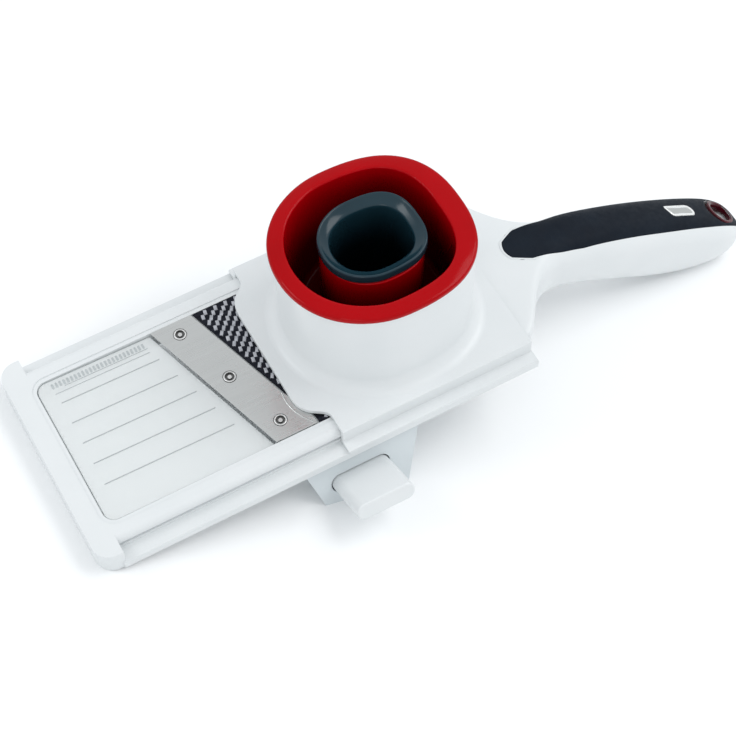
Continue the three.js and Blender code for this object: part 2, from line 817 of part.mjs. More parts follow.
function largePusher() {
  const outX = barrelHalfX - wallThick - 0.6;
  const outY = barrelHalfY - wallThick - 0.6;
  const rimZ = barrelTop + gap;
  const rimX = barrelX - 1.6;
  const rimHalfX = 48.5;
  const rimHalfY = 44.9;
  const lipX = barrelX - 3.4; // the mouth sits forward of the barrel's centre
  const lipHalfX = 38.6;
  const lipHalfY = 37;
  const body = tubeSolid([
    [outX - 1, outY - 1, pusherFloor], [outX, outY, pusherFloor + 2], [outX, outY, rimZ],
    [rimHalfX - 1, rimHalfY - 1, rimZ, rimX], [rimHalfX, rimHalfY, rimZ + 1.2, rimX],
    [rimHalfX, rimHalfY, rimTop - 2, rimX], [rimHalfX - 0.9, rimHalfY - 0.9, rimTop - 1, rimX],
    [lipHalfX + 3, lipHalfY + 3, rimTop, lipX + 0.6],
  ]);
  const cup = tubeSolid([
    [lipHalfX - 2.2, lipHalfY - 2.2, pusherFloor + floorThick], [lipHalfX, lipHalfY, rimTop - 3, lipX],
    [lipHalfX + 1, lipHalfY + 1, rimTop + 0.01, lipX], [lipHalfX + 1, lipHalfY + 1, rimTop + overcut, lipX],
  ]);
  const sleeve = tubeSolid([
    [sleeveHalfX + shellThick, sleeveHalfY + shellThick, pusherFloor, sleeveX],
    [sleeveHalfX + shellThick, sleeveHalfY + shellThick, rimTop - 5, sleeveX],
  ]);
  const hole = tubeSolid([
    [sleeveHalfX, sleeveHalfY, pusherFloor - overcut, sleeveX],
    [sleeveHalfX, sleeveHalfY, rimTop + overcut, sleeveX],
  ]);
  let pusher = body.subtract(cup).add(sleeve).subtract(hole);
  for (const pin of foodPins(ringSpots(16, 32), barrelX)) pusher = pusher.add(pin);
  return pusher;
}

function smallPusher() {
  const outX = sleeveHalfX - 0.5;
  const outY = sleeveHalfY - 0.5;
  const lip = rimTop - 5 + gap;
  const top = rimTop + 0.5;
  const rimHalfX = 25.4;
  const rimHalfY = 22.8;
  const mouth = 5.8; // the rim slopes in this far to the mouth
  const body = tubeSolid([
    [outX, outY, pusherFloor, sleeveX], [outX, outY, lip, sleeveX], [rimHalfX, rimHalfY, lip, sleeveX],
    [rimHalfX, rimHalfY, top - 1, sleeveX], [rimHalfX - 0.8, rimHalfY - 0.8, top, sleeveX],
  ]);
  const cup = tubeSolid([
    [rimHalfX - mouth - 1, rimHalfY - mouth - 1, pusherFloor + floorThick, sleeveX],
    [rimHalfX - mouth, rimHalfY - mouth, top - 3.4, sleeveX],
    [rimHalfX - 1.4, rimHalfY - 1.4, top + 0.01, sleeveX],
    [rimHalfX - 1.4, rimHalfY - 1.4, top + overcut, sleeveX],
  ]);
  let pusher = body.subtract(cup);
  for (const pin of foodPins([...ringSpots(6, 13), [0, 0]], sleeveX)) pusher = pusher.add(pin);
  return pusher;
}

// ---------------------------------------------------------------- assembly
const model = new THREE.Group();
const platform = new THREE.Group();
platform.rotation.y = -restPitch;
model.add(platform);

function place(name, manifold, material) {
  const mesh = new THREE.Mesh(geometryOf(manifold), material);
  mesh.name = name;
  platform.add(mesh);
}

place('frame', frameSolid(), white);
place('grip', gripSolid(), softBlack);
place('badge', badgeSolid(0), silver);
place('hang_ring', hangRing(), darkRed);
place('blade', bladeSolid(), steel);
screwSpots().forEach((spot, i) => place(`blade_screw_${i + 1}`, bladeScrew(spot), steel));
place('textured_plate', texturedPlate(), darkSteel);
place('foot_housing', footHousing(), white);
place('foot_pad_near', mirrored(pad(0)).subtract(onButtonAxis(buttonPocket())), rubber);
place('foot_pad_far', pad(0), rubber);
footScrewSpots.forEach((spot, i) => place(`foot_screw_${i + 1}`, footScrew(spot), steel));
place('ramp', rampSolid(), clear);
place('hinge_pin_near', hingePin(-1), steel);
place('hinge_pin_far', hingePin(1), steel);
place('lift_arm', liftArm(), white);
place('selector_button', selectorButton(), white);
place('selector_wedge', selectorWedge(), white);
place('carriage', carriageSolid(), white);
place('large_pusher', largePusher(), red);
place('small_pusher', smallPusher(), slate);

// Stand the model on the ground, centred on its own outline.
model.updateMatrixWorld(true);
const bounds = new THREE.Box3().setFromObject(model, true);
platform.position.set(
  -(bounds.min.x + bounds.max.x) / 2,
  -(bounds.min.y + bounds.max.y) / 2,
  -bounds.min.z,
);

export default model;
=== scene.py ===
"""A hand-held mandoline slicer: the visual pieces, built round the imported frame.

Sizes are millimetres in the platform's own frame: its top face is z = 0, +X runs towards
the handle and +Y to the far side. The platform's matrix then tilts them onto the table.
"""
import json
import math

import bmesh
import bpy
from mathutils import Matrix, Vector


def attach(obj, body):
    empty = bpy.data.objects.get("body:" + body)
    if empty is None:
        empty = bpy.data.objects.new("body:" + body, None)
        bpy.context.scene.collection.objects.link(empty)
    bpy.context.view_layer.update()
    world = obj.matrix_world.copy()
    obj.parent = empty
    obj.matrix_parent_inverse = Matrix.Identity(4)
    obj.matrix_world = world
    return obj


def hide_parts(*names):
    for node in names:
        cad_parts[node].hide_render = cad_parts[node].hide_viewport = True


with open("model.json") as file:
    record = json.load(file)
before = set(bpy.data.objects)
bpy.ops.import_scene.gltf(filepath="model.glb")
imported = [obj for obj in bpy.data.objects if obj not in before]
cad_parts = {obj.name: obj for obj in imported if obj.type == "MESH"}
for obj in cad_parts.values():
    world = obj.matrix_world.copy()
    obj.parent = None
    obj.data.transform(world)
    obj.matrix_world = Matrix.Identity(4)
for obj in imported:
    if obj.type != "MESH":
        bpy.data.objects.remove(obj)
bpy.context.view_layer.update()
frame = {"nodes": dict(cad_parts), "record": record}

MM = 0.001

# ---- driving sizes
GAP = 0.3
DEPTH = 13.5            # platform, top face to underside
REST_TRIM = 0.8         # planed off the lowest edges by the table
HALF_WIDTH = 60.0
RAIL_HALF = 52.0
LEDGE = -8.5            # top of the side ledges
END_BLOCK = 12.0
END_CORNER = 9.0
LEDGE_END = 235.0
WINDOW_HALF = 42.3
WINDOW_CORNER = 6.0
BEAD = 2.2              # width of the shallow step round the window

SKEW = 0.305            # how much the cutting edge leans back per mm towards -Y
EDGE_X = 87.2           # the cutting edge on the centre line
BLADE_DEPTH = 22.0
BLADE_THICK = 1.2
BRIDGE_FRONT = 4.0
BRIDGE_DEPTH = 5.5
PLATE_REAR = 222.0
PLATE_RECESS = 1.5
POCKET_TOP = 4.5        # the hollow under the textured plate starts this far down
POCKET_REAR = 226.0
SCREW_BEHIND = 10.2     # the screws, behind the cutting edge
SCREW_YS = (34.3, 1.0, -32.2)

CARRIAGE_FRONT = 129.0
CARRIAGE_NOSE = 116.5
CARRIAGE_REAR = 233.5
DECK_LOW = 0.3
DECK_TOP = 2.6
WALL = 2.2

BARREL_X = 175.7
BARREL_HALF = (46.4, 43.6)
BARREL_TOP = 60.4
RIM_TOP = 65.2
PUSHER_FLOOR = 6.0      # underside of both pushers at rest

HANDLE_TIP = 404.5
HANDLE_HALF = 15.6
GRIP_FRONT = 250.7
GRIP_DEPTH = 4.6         # how far the grip wraps down the handle's sides
TONGUE_HALF = 10.2
TONGUE_LONG = 11.0
RING_X = 390.5
RING_Z = -60.5          # the handle's skin at the hanging hole
RING_OUTER = 8.6
RING_INNER = 5.6
BADGE_X = 363.2

FOOT_TOP_HALF = 56.0
FOOT_SLOPE = math.radians(25.5)     # of the housing's side, which the button leaves squarely
BUTTON_X = 134.0
BUTTON_ROOT_Z = -27.8
BUTTON_WIDE = 31.0
BUTTON_THICK = 9.0
BUTTON_OUT = 28.0
BUTTON_IN = 5.0

HINGE = Vector((16.0, 0.0, -5.0))
RIB_YS = (27.7, 15.2, 2.7, -9.8, -22.3)


def platform_matrix():
    """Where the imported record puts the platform's own frame, from two of its joints."""
    joints = {joint["name"]: joint for joint in frame["record"]["behaviour"]["joints"]}
    forward = -Vector(joints["carriage_slide"]["axis"])
    pitch = math.atan2(forward.z, forward.x)
    hinge = Vector(joints["ramp_tilt"]["pos_m"])
    turn = Matrix.Rotation(-pitch, 4, "Y")
    return Matrix.Translation(hinge) @ turn @ Matrix.Translation(-HINGE * MM), pitch


PLATFORM, PITCH = platform_matrix()
TABLE_UP = Vector((math.sin(PITCH), 0, math.cos(PITCH)))        # the table's own axes, in the
TABLE_ALONG = Vector((math.cos(PITCH), 0, -math.sin(PITCH)))    # platform's frame


def smoothstep(value, low, high):
    t = min(max((value - low) / (high - low), 0.0), 1.0)
    return t * t * (3 - 2 * t)


def mix(a, b, t):
    return a + (b - a) * t


def quarter_turn(steps):
    """Sine and cosine at even steps through a right angle."""
    angles = [math.pi / 2 * i / steps for i in range(steps + 1)]
    return [(math.sin(angle), math.cos(angle)) for angle in angles]


def full_turn(steps):
    """Sine and cosine at even steps round a circle."""
    angles = [2 * math.pi * i / steps for i in range(steps)]
    return [(math.sin(angle), math.cos(angle)) for angle in angles]


def arc(cx, cy, radius, start, steps):
    """Points along a quarter circle that begins at a given angle in degrees."""
    angles = [math.radians(start + 90 * i / steps) for i in range(steps + 1)]
    return [(cx + radius * math.cos(angle), cy + radius * math.sin(angle)) for angle in angles]


def bezier(line, axis, t):
    """One coordinate of a cubic Bezier curve of four points."""
    u = 1 - t
    weights = (u ** 3, 3 * u * u * t, 3 * u * t * t, t ** 3)
    return sum(w * point[axis] for w, point in zip(weights, line))


def height_at(curve, x):
    """The second coordinate of curve(axis, t) where its first one, which only grows, is x."""
    low, high = 0.0, 1.0
    for _ in range(26):
        middle = (low + high) / 2
        if curve(0, middle) < x:
            low = middle
        else:
            high = middle
    return curve(1, low)


def edge_at(y, behind=0.0):
    """X of the cutting edge, or of a line parallel to it, at a given Y."""
    return EDGE_X + behind - SKEW * y


# ---- camera, floor and light
VIEW_AZIMUTH = math.radians(29.0)     # these are all in the platform's own frame
VIEW_ELEVATION = math.radians(58.4)
VIEW_ROLL = math.radians(-0.2)
VIEW_TARGET = Vector((157.6, -27.3, 0.0))
VIEW_DISTANCE = 966.8
VIEW_LENS = 97.97


def add_camera():
    flat = math.cos(VIEW_ELEVATION)
    look = Vector((flat * math.sin(VIEW_AZIMUTH), flat * math.cos(VIEW_AZIMUTH), -math.sin(VIEW_ELEVATION)))
    right = look.cross(Vector((0, 0, 1))).normalized()
    up = right.cross(look)
    turned_right = right * math.cos(VIEW_ROLL) + up * math.sin(VIEW_ROLL)
    turned_up = turned_right.cross(look)
    axes = Matrix((turned_right, turned_up, -look)).transposed().to_4x4()
    place = Matrix.Translation((VIEW_TARGET - look * VIEW_DISTANCE) * MM)
    data = bpy.data.cameras.new("camera")
    data.lens = VIEW_LENS
    data.sensor_width = 36
    data.clip_start = 0.01
    camera = bpy.data.objects.new("camera", data)
    camera.matrix_world = PLATFORM @ place @ axes
    bpy.context.scene.collection.objects.link(camera)
    bpy.context.scene.camera = camera


def add_area_light(name, place, target, size, power, color):
    data = bpy.data.lights.new(name, "AREA")
    data.shape = "RECTANGLE"
    data.size, data.size_y = size
    data.energy = power
    data.color = color
    light = bpy.data.objects.new(name, data)
    light.location = place
    light.rotation_euler = (Vector(target) - Vector(place)).to_track_quat("-Z", "Y").to_euler()
    bpy.context.scene.collection.objects.link(light)


def add_world():
    world = bpy.data.worlds.new("studio")
    bpy.context.scene.world = world
    world.use_nodes = True
    background = world.node_tree.nodes["Background"]
    background.inputs["Color"].default_value = (0.95, 0.975, 1.0, 1)
    background.inputs["Strength"].default_value = 0.82
    bpy.context.scene.view_settings.view_transform = "Standard"


def add_floor():
    mesh = bpy.data.meshes.new("floor")
    reach = 6.0
    mesh.from_pydata([(-reach, -reach, 0), (reach, -reach, 0), (reach, reach, 0), (-reach, reach, 0)],
                     [], [(0, 1, 2, 3)])
    floor = bpy.data.objects.new("floor", mesh)
    bpy.context.scene.collection.objects.link(floor)
    paint, shader = new_material("floor_white", (0.94, 0.95, 0.955), 0.7)
    add_grain(paint, shader, 400, 0.02)
    floor.data.materials.append(paint)


# ---- materials
def new_material(name, color, roughness, **sockets):
    material = bpy.data.materials.new(name)
    material.use_nodes = True
    shader = material.node_tree.nodes["Principled BSDF"]
    shader.inputs["Base Color"].default_value = (*color, 1)
    shader.inputs["Roughness"].default_value = roughness
    for socket, value in sockets.items():
        shader.inputs[socket.replace("_", " ")].default_value = value
    return material, shader


def adders(material):
    """The two calls that add a node and a link to a material."""
    return material.node_tree.nodes.new, material.node_tree.links.new


def noise_node(material, scale, stretch=(1, 1, 1), detail=4.0):
    """Noise over the platform's own axes, in features per metre, drawn out by stretch."""
    node, link = adders(material)
    coords = node("ShaderNodeTexCoord")
    mapping = node("ShaderNodeMapping")
    mapping.vector_type = "TEXTURE"
    mapping.inputs["Rotation"].default_value = (0, -PITCH, 0)
    mapping.inputs["Scale"].default_value = stretch
    noise = node("ShaderNodeTexNoise")
    noise.inputs["Scale"].default_value = scale
    noise.inputs["Detail"].default_value = detail
    link(coords.outputs["Object"], mapping.inputs["Vector"])
    link(mapping.outputs["Vector"], noise.inputs["Vector"])
    return noise


def map_range(material, source, old, new):
    """Maps a value from one range onto another; each is a low and a high end."""
    node, link = adders(material)
    spread = node("ShaderNodeMapRange")
    for kind, limits in (("From", old), ("To", new)):
        for end, value in zip(("Min", "Max"), limits):
            spread.inputs[f"{kind} {end}"].default_value = value
    link(source, spread.inputs["Value"])
    return spread.outputs["Result"]


def add_grain(material, shader, scale, strength, stretch=(1, 1, 1)):
    """A fine surface relief."""
    node, link = adders(material)
    noise = noise_node(material, scale, stretch)
    bump = node("ShaderNodeBump")
    bump.inputs["Strength"].default_value = strength
    bump.inputs["Distance"].default_value = 0.0005
    link(noise.outputs["Fac"], bump.inputs["Height"])
    link(bump.outputs["Normal"], shader.inputs["Normal"])


def vary_roughness(material, shader, scale, low, high, stretch=(1, 1, 1)):
    noise = noise_node(material, scale, stretch)
    spread = map_range(material, noise.outputs["Fac"], (0.3, 0.7), (low, high))
    material.node_tree.links.new(spread, shader.inputs["Roughness"])


def vary_color(material, shader, scale, dark, light, stretch=(1, 1, 1)):
    node, link = adders(material)
    noise = noise_node(material, scale, stretch, 3.0)
    ramp = node("ShaderNodeValToRGB")
    for element, position, color in zip(ramp.color_ramp.elements, (0.3, 0.7), (dark, light)):
        element.position = position
        element.color = (*color, 1)
    link(noise.outputs["Fac"], ramp.inputs["Fac"])
    link(ramp.outputs["Color"], shader.inputs["Base Color"])


def surface(name, color, roughness, tones, gloss, grain, **sockets):
    """A material whose colour, roughness and relief each vary over noise of their own scale."""
    material, shader = new_material(name, color, roughness, **sockets)
    if tones:
        vary_color(material, shader, *tones)
    vary_roughness(material, shader, *gloss)
    add_grain(material, shader, *grain)
    return material


def paint_shade_down(material, top, bottom):
    """Paints shade into a material: it grows darker and less glossy with depth, from one height over the
    platform down to another.

    Heights are those at rest, and they count outside a cup as well as inside it.
    """
    deepest = 0.18
    node, link = adders(material)
    shader = material.node_tree.nodes["Principled BSDF"]
    source = shader.inputs["Base Color"].links[0].from_socket
    coords = node("ShaderNodeTexCoord")
    level = node("ShaderNodeVectorMath")
    level.operation = "DOT_PRODUCT"
    up = PLATFORM.to_3x3() @ Vector((0, 0, 1))
    level.inputs[1].default_value = up
    offset = up.dot(PLATFORM.translation)
    link(coords.outputs["Object"], level.inputs[0])
    heights = (bottom * MM + offset, top * MM + offset)
    # painted shade: the colour and the specular level are scaled down towards the lower height
    fade = map_range(material, level.outputs["Value"], heights, (deepest, 1.0))
    painted_shade = node("ShaderNodeVectorMath")
    painted_shade.operation = "SCALE"
    link(source, painted_shade.inputs[0])
    link(fade, painted_shade.inputs["Scale"])
    link(painted_shade.outputs["Vector"], shader.inputs["Base Color"])
    gloss = node("ShaderNodeMath")
    gloss.operation = "MULTIPLY"
    gloss.inputs[1].default_value = shader.inputs["Specular IOR Level"].default_value
    link(fade, gloss.inputs[0])
    link(gloss.outputs["Value"], shader.inputs["Specular IOR Level"])


def white_plastic():
    tones = (25, (0.72, 0.748, 0.756), (0.75, 0.773, 0.78))
    return surface("body_white", (0.8, 0.84, 0.86), 0.35, tones, (90, 0.28, 0.4), (1500, 0.05))


def inner_plastic():
    tones = (40, (0.73, 0.77, 0.79), (0.78, 0.81, 0.83))
    return surface("inner_white", (0.76, 0.79, 0.81), 0.55, tones, (120, 0.45, 0.6), (1200, 0.1))


def housing_plastic():
    # painted shade: a darker blue-grey copy of the white plastic, for the shade under the platform
    tones = (30, (0.6, 0.65, 0.67), (0.64, 0.69, 0.71))
    return surface("housing_white", (0.66, 0.7, 0.76), 0.4, tones, (100, 0.35, 0.5), (1400, 0.06))


def red_plastic():
    tones = (30, (0.36, 0.0, 0.002), (0.41, 0.0, 0.003))
    material = surface("pusher_red", (0.44, 0.0, 0.008), 0.1, tones, (60, 0.07, 0.15), (500, 0.02),
                       Specular_IOR_Level=0.12)
    # painted shade: the red darkens towards the cup's floor, outside as well as inside
    paint_shade_down(material, RIM_TOP - 4, 30)
    return material


def slate_plastic():
    tones = (30, (0.007, 0.026, 0.038), (0.01, 0.034, 0.048))
    material = surface("pusher_slate", (0.01, 0.035, 0.052), 0.15, tones, (80, 0.1, 0.2), (600, 0.03),
                       Specular_IOR_Level=0.35)
    # painted shade: the slate darkens towards the cup's floor, outside as well as inside
    paint_shade_down(material, RIM_TOP - 3, 35)
    return material


def soft_grip():
    tones = (60, (0.003, 0.006, 0.012), (0.005, 0.01, 0.018))
    return surface("grip_black", (0.004, 0.008, 0.015), 0.55, tones, (300, 0.48, 0.62), (2600, 0.3),
                   Specular_IOR_Level=0.12)


def dark_red_plastic():
    tones = (80, (0.05, 0.001, 0.005), (0.09, 0.003, 0.012))
    return surface("ring_red", (0.07, 0.002, 0.008), 0.25, tones, (200, 0.2, 0.32), (800, 0.04),
                   Specular_IOR_Level=0.3)


def badge_metal(name, color, roughness):
    gloss = (700, roughness * 0.8, roughness * 1.3, (10, 1, 1))
    return surface(name, color, roughness, None, gloss, (900, 0.06, (12, 1, 1)), Metallic=0.6)


def brushed_steel(name, dark, light, low, high):
    tones = (600, dark, light, (25, 1, 1))
    gloss = (900, low, high, (30, 1, 1))
    return surface(name, light, low, tones, gloss, (1600, 0.03, (50, 1, 1)), Metallic=1.0)


def screw_metal():
    """Bright steel, with painted shade darkening it down in the drive recess."""
    material = brushed_steel("screw_head", (0.7, 0.7, 0.69), (0.78, 0.78, 0.77), 0.34, 0.44)
    paint_shade_down(material, -0.05, -0.6)
    return material


def clear_plastic():
    return surface("ramp_clear", (0.9, 0.93, 0.93), 0.12, None, (120, 0.1, 0.2), (700, 0.03),
                   Alpha=0.62, IOR=1.49)


def rib_plastic():
    # painted shade: a greyer copy of the clear ramp plastic, for the shading lines along the ribs
    return surface("rib_clear", (0.52, 0.56, 0.57), 0.2, None, (200, 0.15, 0.3), (900, 0.03), Alpha=0.6)


def rubber():
    tones = (150, (0.27, 0.35, 0.33), (0.33, 0.41, 0.39))
    return surface("foot_rubber", (0.3, 0.38, 0.36), 0.8, tones, (400, 0.7, 0.9), (1800, 0.4))


# ---- mesh building
def new_object(name, points, faces):
    mesh = bpy.data.meshes.new(name)
    mesh.from_pydata([Vector(point) * MM for point in points], [], faces)
    shape = bmesh.new()
    shape.from_mesh(mesh)
    bmesh.ops.remove_doubles(shape, verts=shape.verts, dist=1e-7)
    bmesh.ops.recalc_face_normals(shape, faces=shape.faces)
    shape.to_mesh(mesh)
    shape.free()
    obj = bpy.data.objects.new(name, mesh)
    bpy.context.scene.collection.objects.link(obj)
    obj.matrix_world = PLATFORM
    return obj


def loft_faces(rings, count, closed=False):
    """Faces that join a number of rings of count points, and the two end faces unless closed."""
    faces = []
    for r in range(rings if closed else rings - 1):
        a = r * count
        b = (r + 1) % rings * count
        faces += [(a + i, a + (i + 1) % count, b + (i + 1) % count, b + i) for i in range(count)]
    if not closed:
        last = (rings - 1) * count
        faces.append(tuple(reversed(range(count))))
        faces.append(tuple(range(last, last + count)))
    return faces


def loft(rings, name="tool", closed=False):
    """Joins rings of equally many points. Unless closed on itself it gets two end faces."""
    points = [point for ring in rings for point in ring]
    return new_object(name, points, loft_faces(len(rings), len(rings[0]), closed))


def add_solid(points, faces, rings):
    """Adds a small solid, given by its rings, to growing lists of points and faces."""
    base = len(points)
    points.extend(point for ring in rings for point in ring)
    faces.extend(tuple(base + i for i in face) for face in loft_faces(len(rings), len(rings[0])))


def prism(outline, z0, z1, name="tool"):
    points = [(x, y, z) for z in (z0, z1) for x, y in outline]
    *sides, low, high = loft_faces(2, len(outline))
    return new_object(name, points, [low, high] + sides)


def side_prism(outline, y0, y1, name="tool"):
    """A prism of an outline drawn in the XZ plane, running along Y."""
    return loft([[(x, y, z) for x, z in outline] for y in (y0, y1)], name)


def box(x0, x1, y0, y1, z0, z1, name="tool"):
    return prism([(x0, y0), (x1, y0), (x1, y1), (x0, y1)], z0, z1, name)


def disc(radius, x, y, segments=32):
    return [(x + radius * cosine, y + radius * sine) for sine, cosine in full_turn(segments)]


def rounded_rectangle(x0, x1, y0, y1, radius, steps=10):
    left, right = x0 + radius, x1 - radius
    near, far = y0 + radius, y1 - radius
    outline = []
    for cx, cy, start in ((right, near, -90), (right, far, 0), (left, far, 90), (left, near, 180)):
        outline += arc(cx, cy, radius, start, steps)
    return outline


def skew_outline(front, rear, half):
    return [(edge_at(-half, front), -half), (edge_at(-half, rear), -half),
            (edge_at(half, rear), half), (edge_at(half, front), half)]


def bake(obj):
    """Applies the modifiers."""
    graph = bpy.context.evaluated_depsgraph_get()
    mesh = bpy.data.meshes.new_from_object(obj.evaluated_get(graph))
    old = obj.data
    obj.modifiers.clear()
    obj.data = mesh
    bpy.data.meshes.remove(old)


def boolean(obj, tool, operation="DIFFERENCE"):
    modifier = obj.modifiers.new("boolean", "BOOLEAN")
    modifier.object = tool
    modifier.operation = operation
    modifier.solver = "EXACT"
    bake(obj)
    bpy.data.objects.remove(tool)
    return obj


def join(obj, other):
    """Adds another piece's mesh to this one as it stands."""
    shape = bmesh.new()
    shape.from_mesh(obj.data)
    shape.from_mesh(other.data)
    shape.to_mesh(obj.data)
    shape.free()
    bpy.data.objects.remove(other)
    return obj


def round_edges(obj, rule, segments=3, angle=28):
    """Rounds the sharp edges: rule(middle, direction) gives a radius in mm for each."""
    shape = bmesh.new()
    shape.from_mesh(obj.data)
    bmesh.ops.remove_doubles(shape, verts=shape.verts, dist=2e-6)
    bmesh.ops.dissolve_limit(shape, angle_limit=math.radians(0.6), verts=shape.verts, edges=shape.edges)
    weights = shape.edges.layers.float.new("bevel_weight_edge")
    radii = {}
    for edge in shape.edges:
        if len(edge.link_faces) != 2 or edge.calc_face_angle(0.0) < math.radians(angle):
            continue
        middle = (edge.verts[0].co + edge.verts[1].co) / 2 / MM
        direction = (edge.verts[1].co - edge.verts[0].co).normalized()
        radii[edge] = rule(middle, direction)
    largest = max(radii.values())
    for edge, radius in radii.items():
        edge[weights] = radius / largest
    shape.to_mesh(obj.data)
    shape.free()
    modifier = obj.modifiers.new("round", "BEVEL")
    modifier.limit_method = "WEIGHT"
    modifier.width = largest * MM
    modifier.segments = segments
    modifier.use_clamp_overlap = True
    bake(obj)
    return obj


def shade(obj, angle=40):
    obj.data.shade_smooth()
    obj.data.set_sharp_from_angle(angle=math.radians(angle))
    modifier = obj.modifiers.new("normals", "WEIGHTED_NORMAL")
    modifier.keep_sharp = True
    modifier.weight = 60


def finish_piece(obj, name, body, material, replaces=(), angle=40):
    obj.name = name
    obj.data.transform(obj.matrix_world)
    obj.matrix_world = Matrix.Identity(4)
    obj.data.materials.clear()
    obj.data.materials.append(material)
    shade(obj, angle)
    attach(obj, body)
    if replaces:
        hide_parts(*replaces)
    return obj


# ---- neck and handle
# x and height of points along the handle's crown and its underside
TOP_LINE = ((228, 0), (244, -0.5), (258, -1.9), (270, -3.7), (288, -7), (306, -13), (332, -24.6),
            (359, -39.3), (384, -55.2), (396, -64.8), (402, -72), (HANDLE_TIP, -77.5))
BOTTOM_LINE = ((228, -DEPTH), (244, -15.5), (262, -28.5), (274, -37.5), (294, -47.8), (320, -63.3),
               (340, -75.5), (360, -84.8), (378, -89.4), (392, -89.8), (400, -86), (HANDLE_TIP, -80.5))
NECK = ((236, 48.5), (248, 42), (255, 12.5), (280, 14.8))     # x and half width of the neck's curve
TAIL_START = 360.0      # from here on the handle rounds off towards its tip


def spline_height(line, x):
    """A Catmull-Rom curve through the points of a line, read at x."""
    last = len(line) - 1
    span = 0
    while span < last - 1 and line[span + 1][0] < x:
        span += 1
    p0, p1 = line[max(span - 1, 0)], line[span]
    p2, p3 = line[span + 1], line[min(span + 2, last)]

    def at(axis, t):
        v0 = (p2[axis] - p0[axis]) / 2
        v1 = (p3[axis] - p1[axis]) / 2
        a = 2 * p1[axis] - 2 * p2[axis] + v0 + v1
        b = -3 * p1[axis] + 3 * p2[axis] - 2 * v0 - v1
        return ((a * t + b) * t + v0) * t + p1[axis]

    return height_at(at, x)


def handle_half(x):
    if x < NECK[0][0]:
        return NECK[0][1]
    if x < NECK[-1][0]:
        return height_at(lambda axis, t: bezier(NECK, axis, t), x)
    if x < TAIL_START:
        return mix(NECK[-1][1], HANDLE_HALF, (x - NECK[-1][0]) / (TAIL_START - NECK[-1][0]))
    along = (x - TAIL_START) / (HANDLE_TIP + 1 - TAIL_START)
    return HANDLE_HALF * math.sqrt(max(1 - along ** 4, 0))


def handle_section(x):
    """Half width, middle height, half height and squareness of the handle at x."""
    top = spline_height(TOP_LINE, x)
    bottom = spline_height(BOTTOM_LINE, x)
    squareness = mix(12, 3, smoothstep(x, 240, 282))
    return handle_half(x), (top + bottom) / 2, (top - bottom) / 2, squareness


def section_point(x, angle):
    """A point on the handle's skin, by the angle from its crown."""
    half, middle, tall, squareness = handle_section(x)
    power = 2 / squareness
    s, c = math.sin(angle), math.cos(angle)
    y = math.copysign(abs(s) ** power, s) * half
    z = math.copysign(abs(c) ** power, c) * tall
    return Vector((x, y, middle + z))


def skin_point(x, y, lift):
    """The point of the handle's upper skin over (x, y), raised by lift along its normal."""
    half, middle, tall, squareness = handle_section(x)
    across = min(abs(y) / half, 0.999)
    height = tall * (1 - across ** squareness) ** (1 / squareness)
    out = Vector((0, math.copysign(across ** (squareness - 1) / half, y),
                  (height / tall) ** (squareness - 1) / tall))
    out.normalize()
    return Vector((x, y, middle + height)) + out * lift


def stations(start, stop, step):
    count = max(int(round((stop - start) / step)), 1)
    return [mix(start, stop, i / count) for i in range(count + 1)]


def handle_body():
    segments = 144
    xs = [228.5] + stations(232, 246, 2.0) + stations(247, 286, 1.0) + stations(288, 396, 2.0)
    xs += [398, 400, 401.5, 402.7, 403.6, 404.2, HANDLE_TIP]
    rings = []
    for x in xs:
        ring = [section_point(x, -2 * math.pi * (i + 0.5) / segments) for i in range(segments)]
        rings.append(ring)
    return loft(rings, "handle_body")


# ---- grip, badge and ring
def wrapped_half(x):
    """Half width of the grip where it wraps down the handle's sides; it thins out at the tip."""
    half, _, tall, squareness = handle_section(x)
    depth = mix(GRIP_DEPTH, 2.4, smoothstep(x, 335, 395))
    return half * (1 - max(1 - depth / tall, 0.0) ** squareness) ** (1 / squareness)


def grip_half(x):
    """Half width of the grip: a rounded tongue that widens until it wraps the handle."""
    along = min(max((x - GRIP_FRONT) / TONGUE_LONG, 0.0), 1.0)
    if along < 1:
        return TONGUE_HALF * math.sqrt(1 - (1 - along) ** 2)
    start = GRIP_FRONT + TONGUE_LONG
    wrapped = 292.0
    if x < wrapped:
        return mix(TONGUE_HALF, wrapped_half(wrapped), (x - start) / (wrapped - start))
    return wrapped_half(x)


def grip_piece():
    fine = [0.02, 0.12, 0.4, 0.8, 1.4, 2.2, 3.2, 4.4, 5.8, 7.5, 9.2]
    xs = [GRIP_FRONT + f for f in fine] + stations(261.7, 398, 1.8) + [399.5, 401, 402.3, 403.2, 403.9]
    side = [0.0, 0.12, 0.25, 0.38, 0.5, 0.62, 0.72, 0.8, 0.86, 0.91, 0.945, 0.97, 0.985, 0.995, 1.0]
    across = [-v for v in reversed(side)] + side[1:]

    def lift(x, v):
        half = grip_half(x)
        slope = (grip_half(x + 0.2) - grip_half(x - 0.2)) / 0.4 if x < GRIP_FRONT + TONGUE_LONG else 0
        inside = (1 - abs(v)) * half / math.sqrt(1 + slope * slope)
        inside = min(inside, HANDLE_TIP - x + 0.2)
        rise = min(inside / 0.9, 1.0)
        return -0.9 + 1.15 * math.sqrt(1 - (1 - rise) ** 2)

    rings = []
    for x in xs:
        half = grip_half(x)
        upper = [skin_point(x, half * v, lift(x, v)) for v in across]
        lower = [skin_point(x, half * v, -2.2) for v in reversed(across)]
        rings.append(upper + lower)
    grip = loft(rings, "grip_skin")
    boolean(grip, upright_cylinder(RING_OUTER + 0.15, -20, 30))
    boolean(grip, badge_block(0.25, -3.0, 5.0))
    return grip


def upright_cylinder(radius, low, high):
    """A cylinder round the hanging hole, upright when the slicer rests on a table."""
    middle = Vector((RING_X, 0, RING_Z))
    rings = []
    for height in (low, high):
        rings.append([middle + TABLE_ALONG * (radius * cosine) + Vector((0, radius * sine, 0))
                      + TABLE_UP * height for sine, cosine in full_turn(64)])
    return loft(rings)


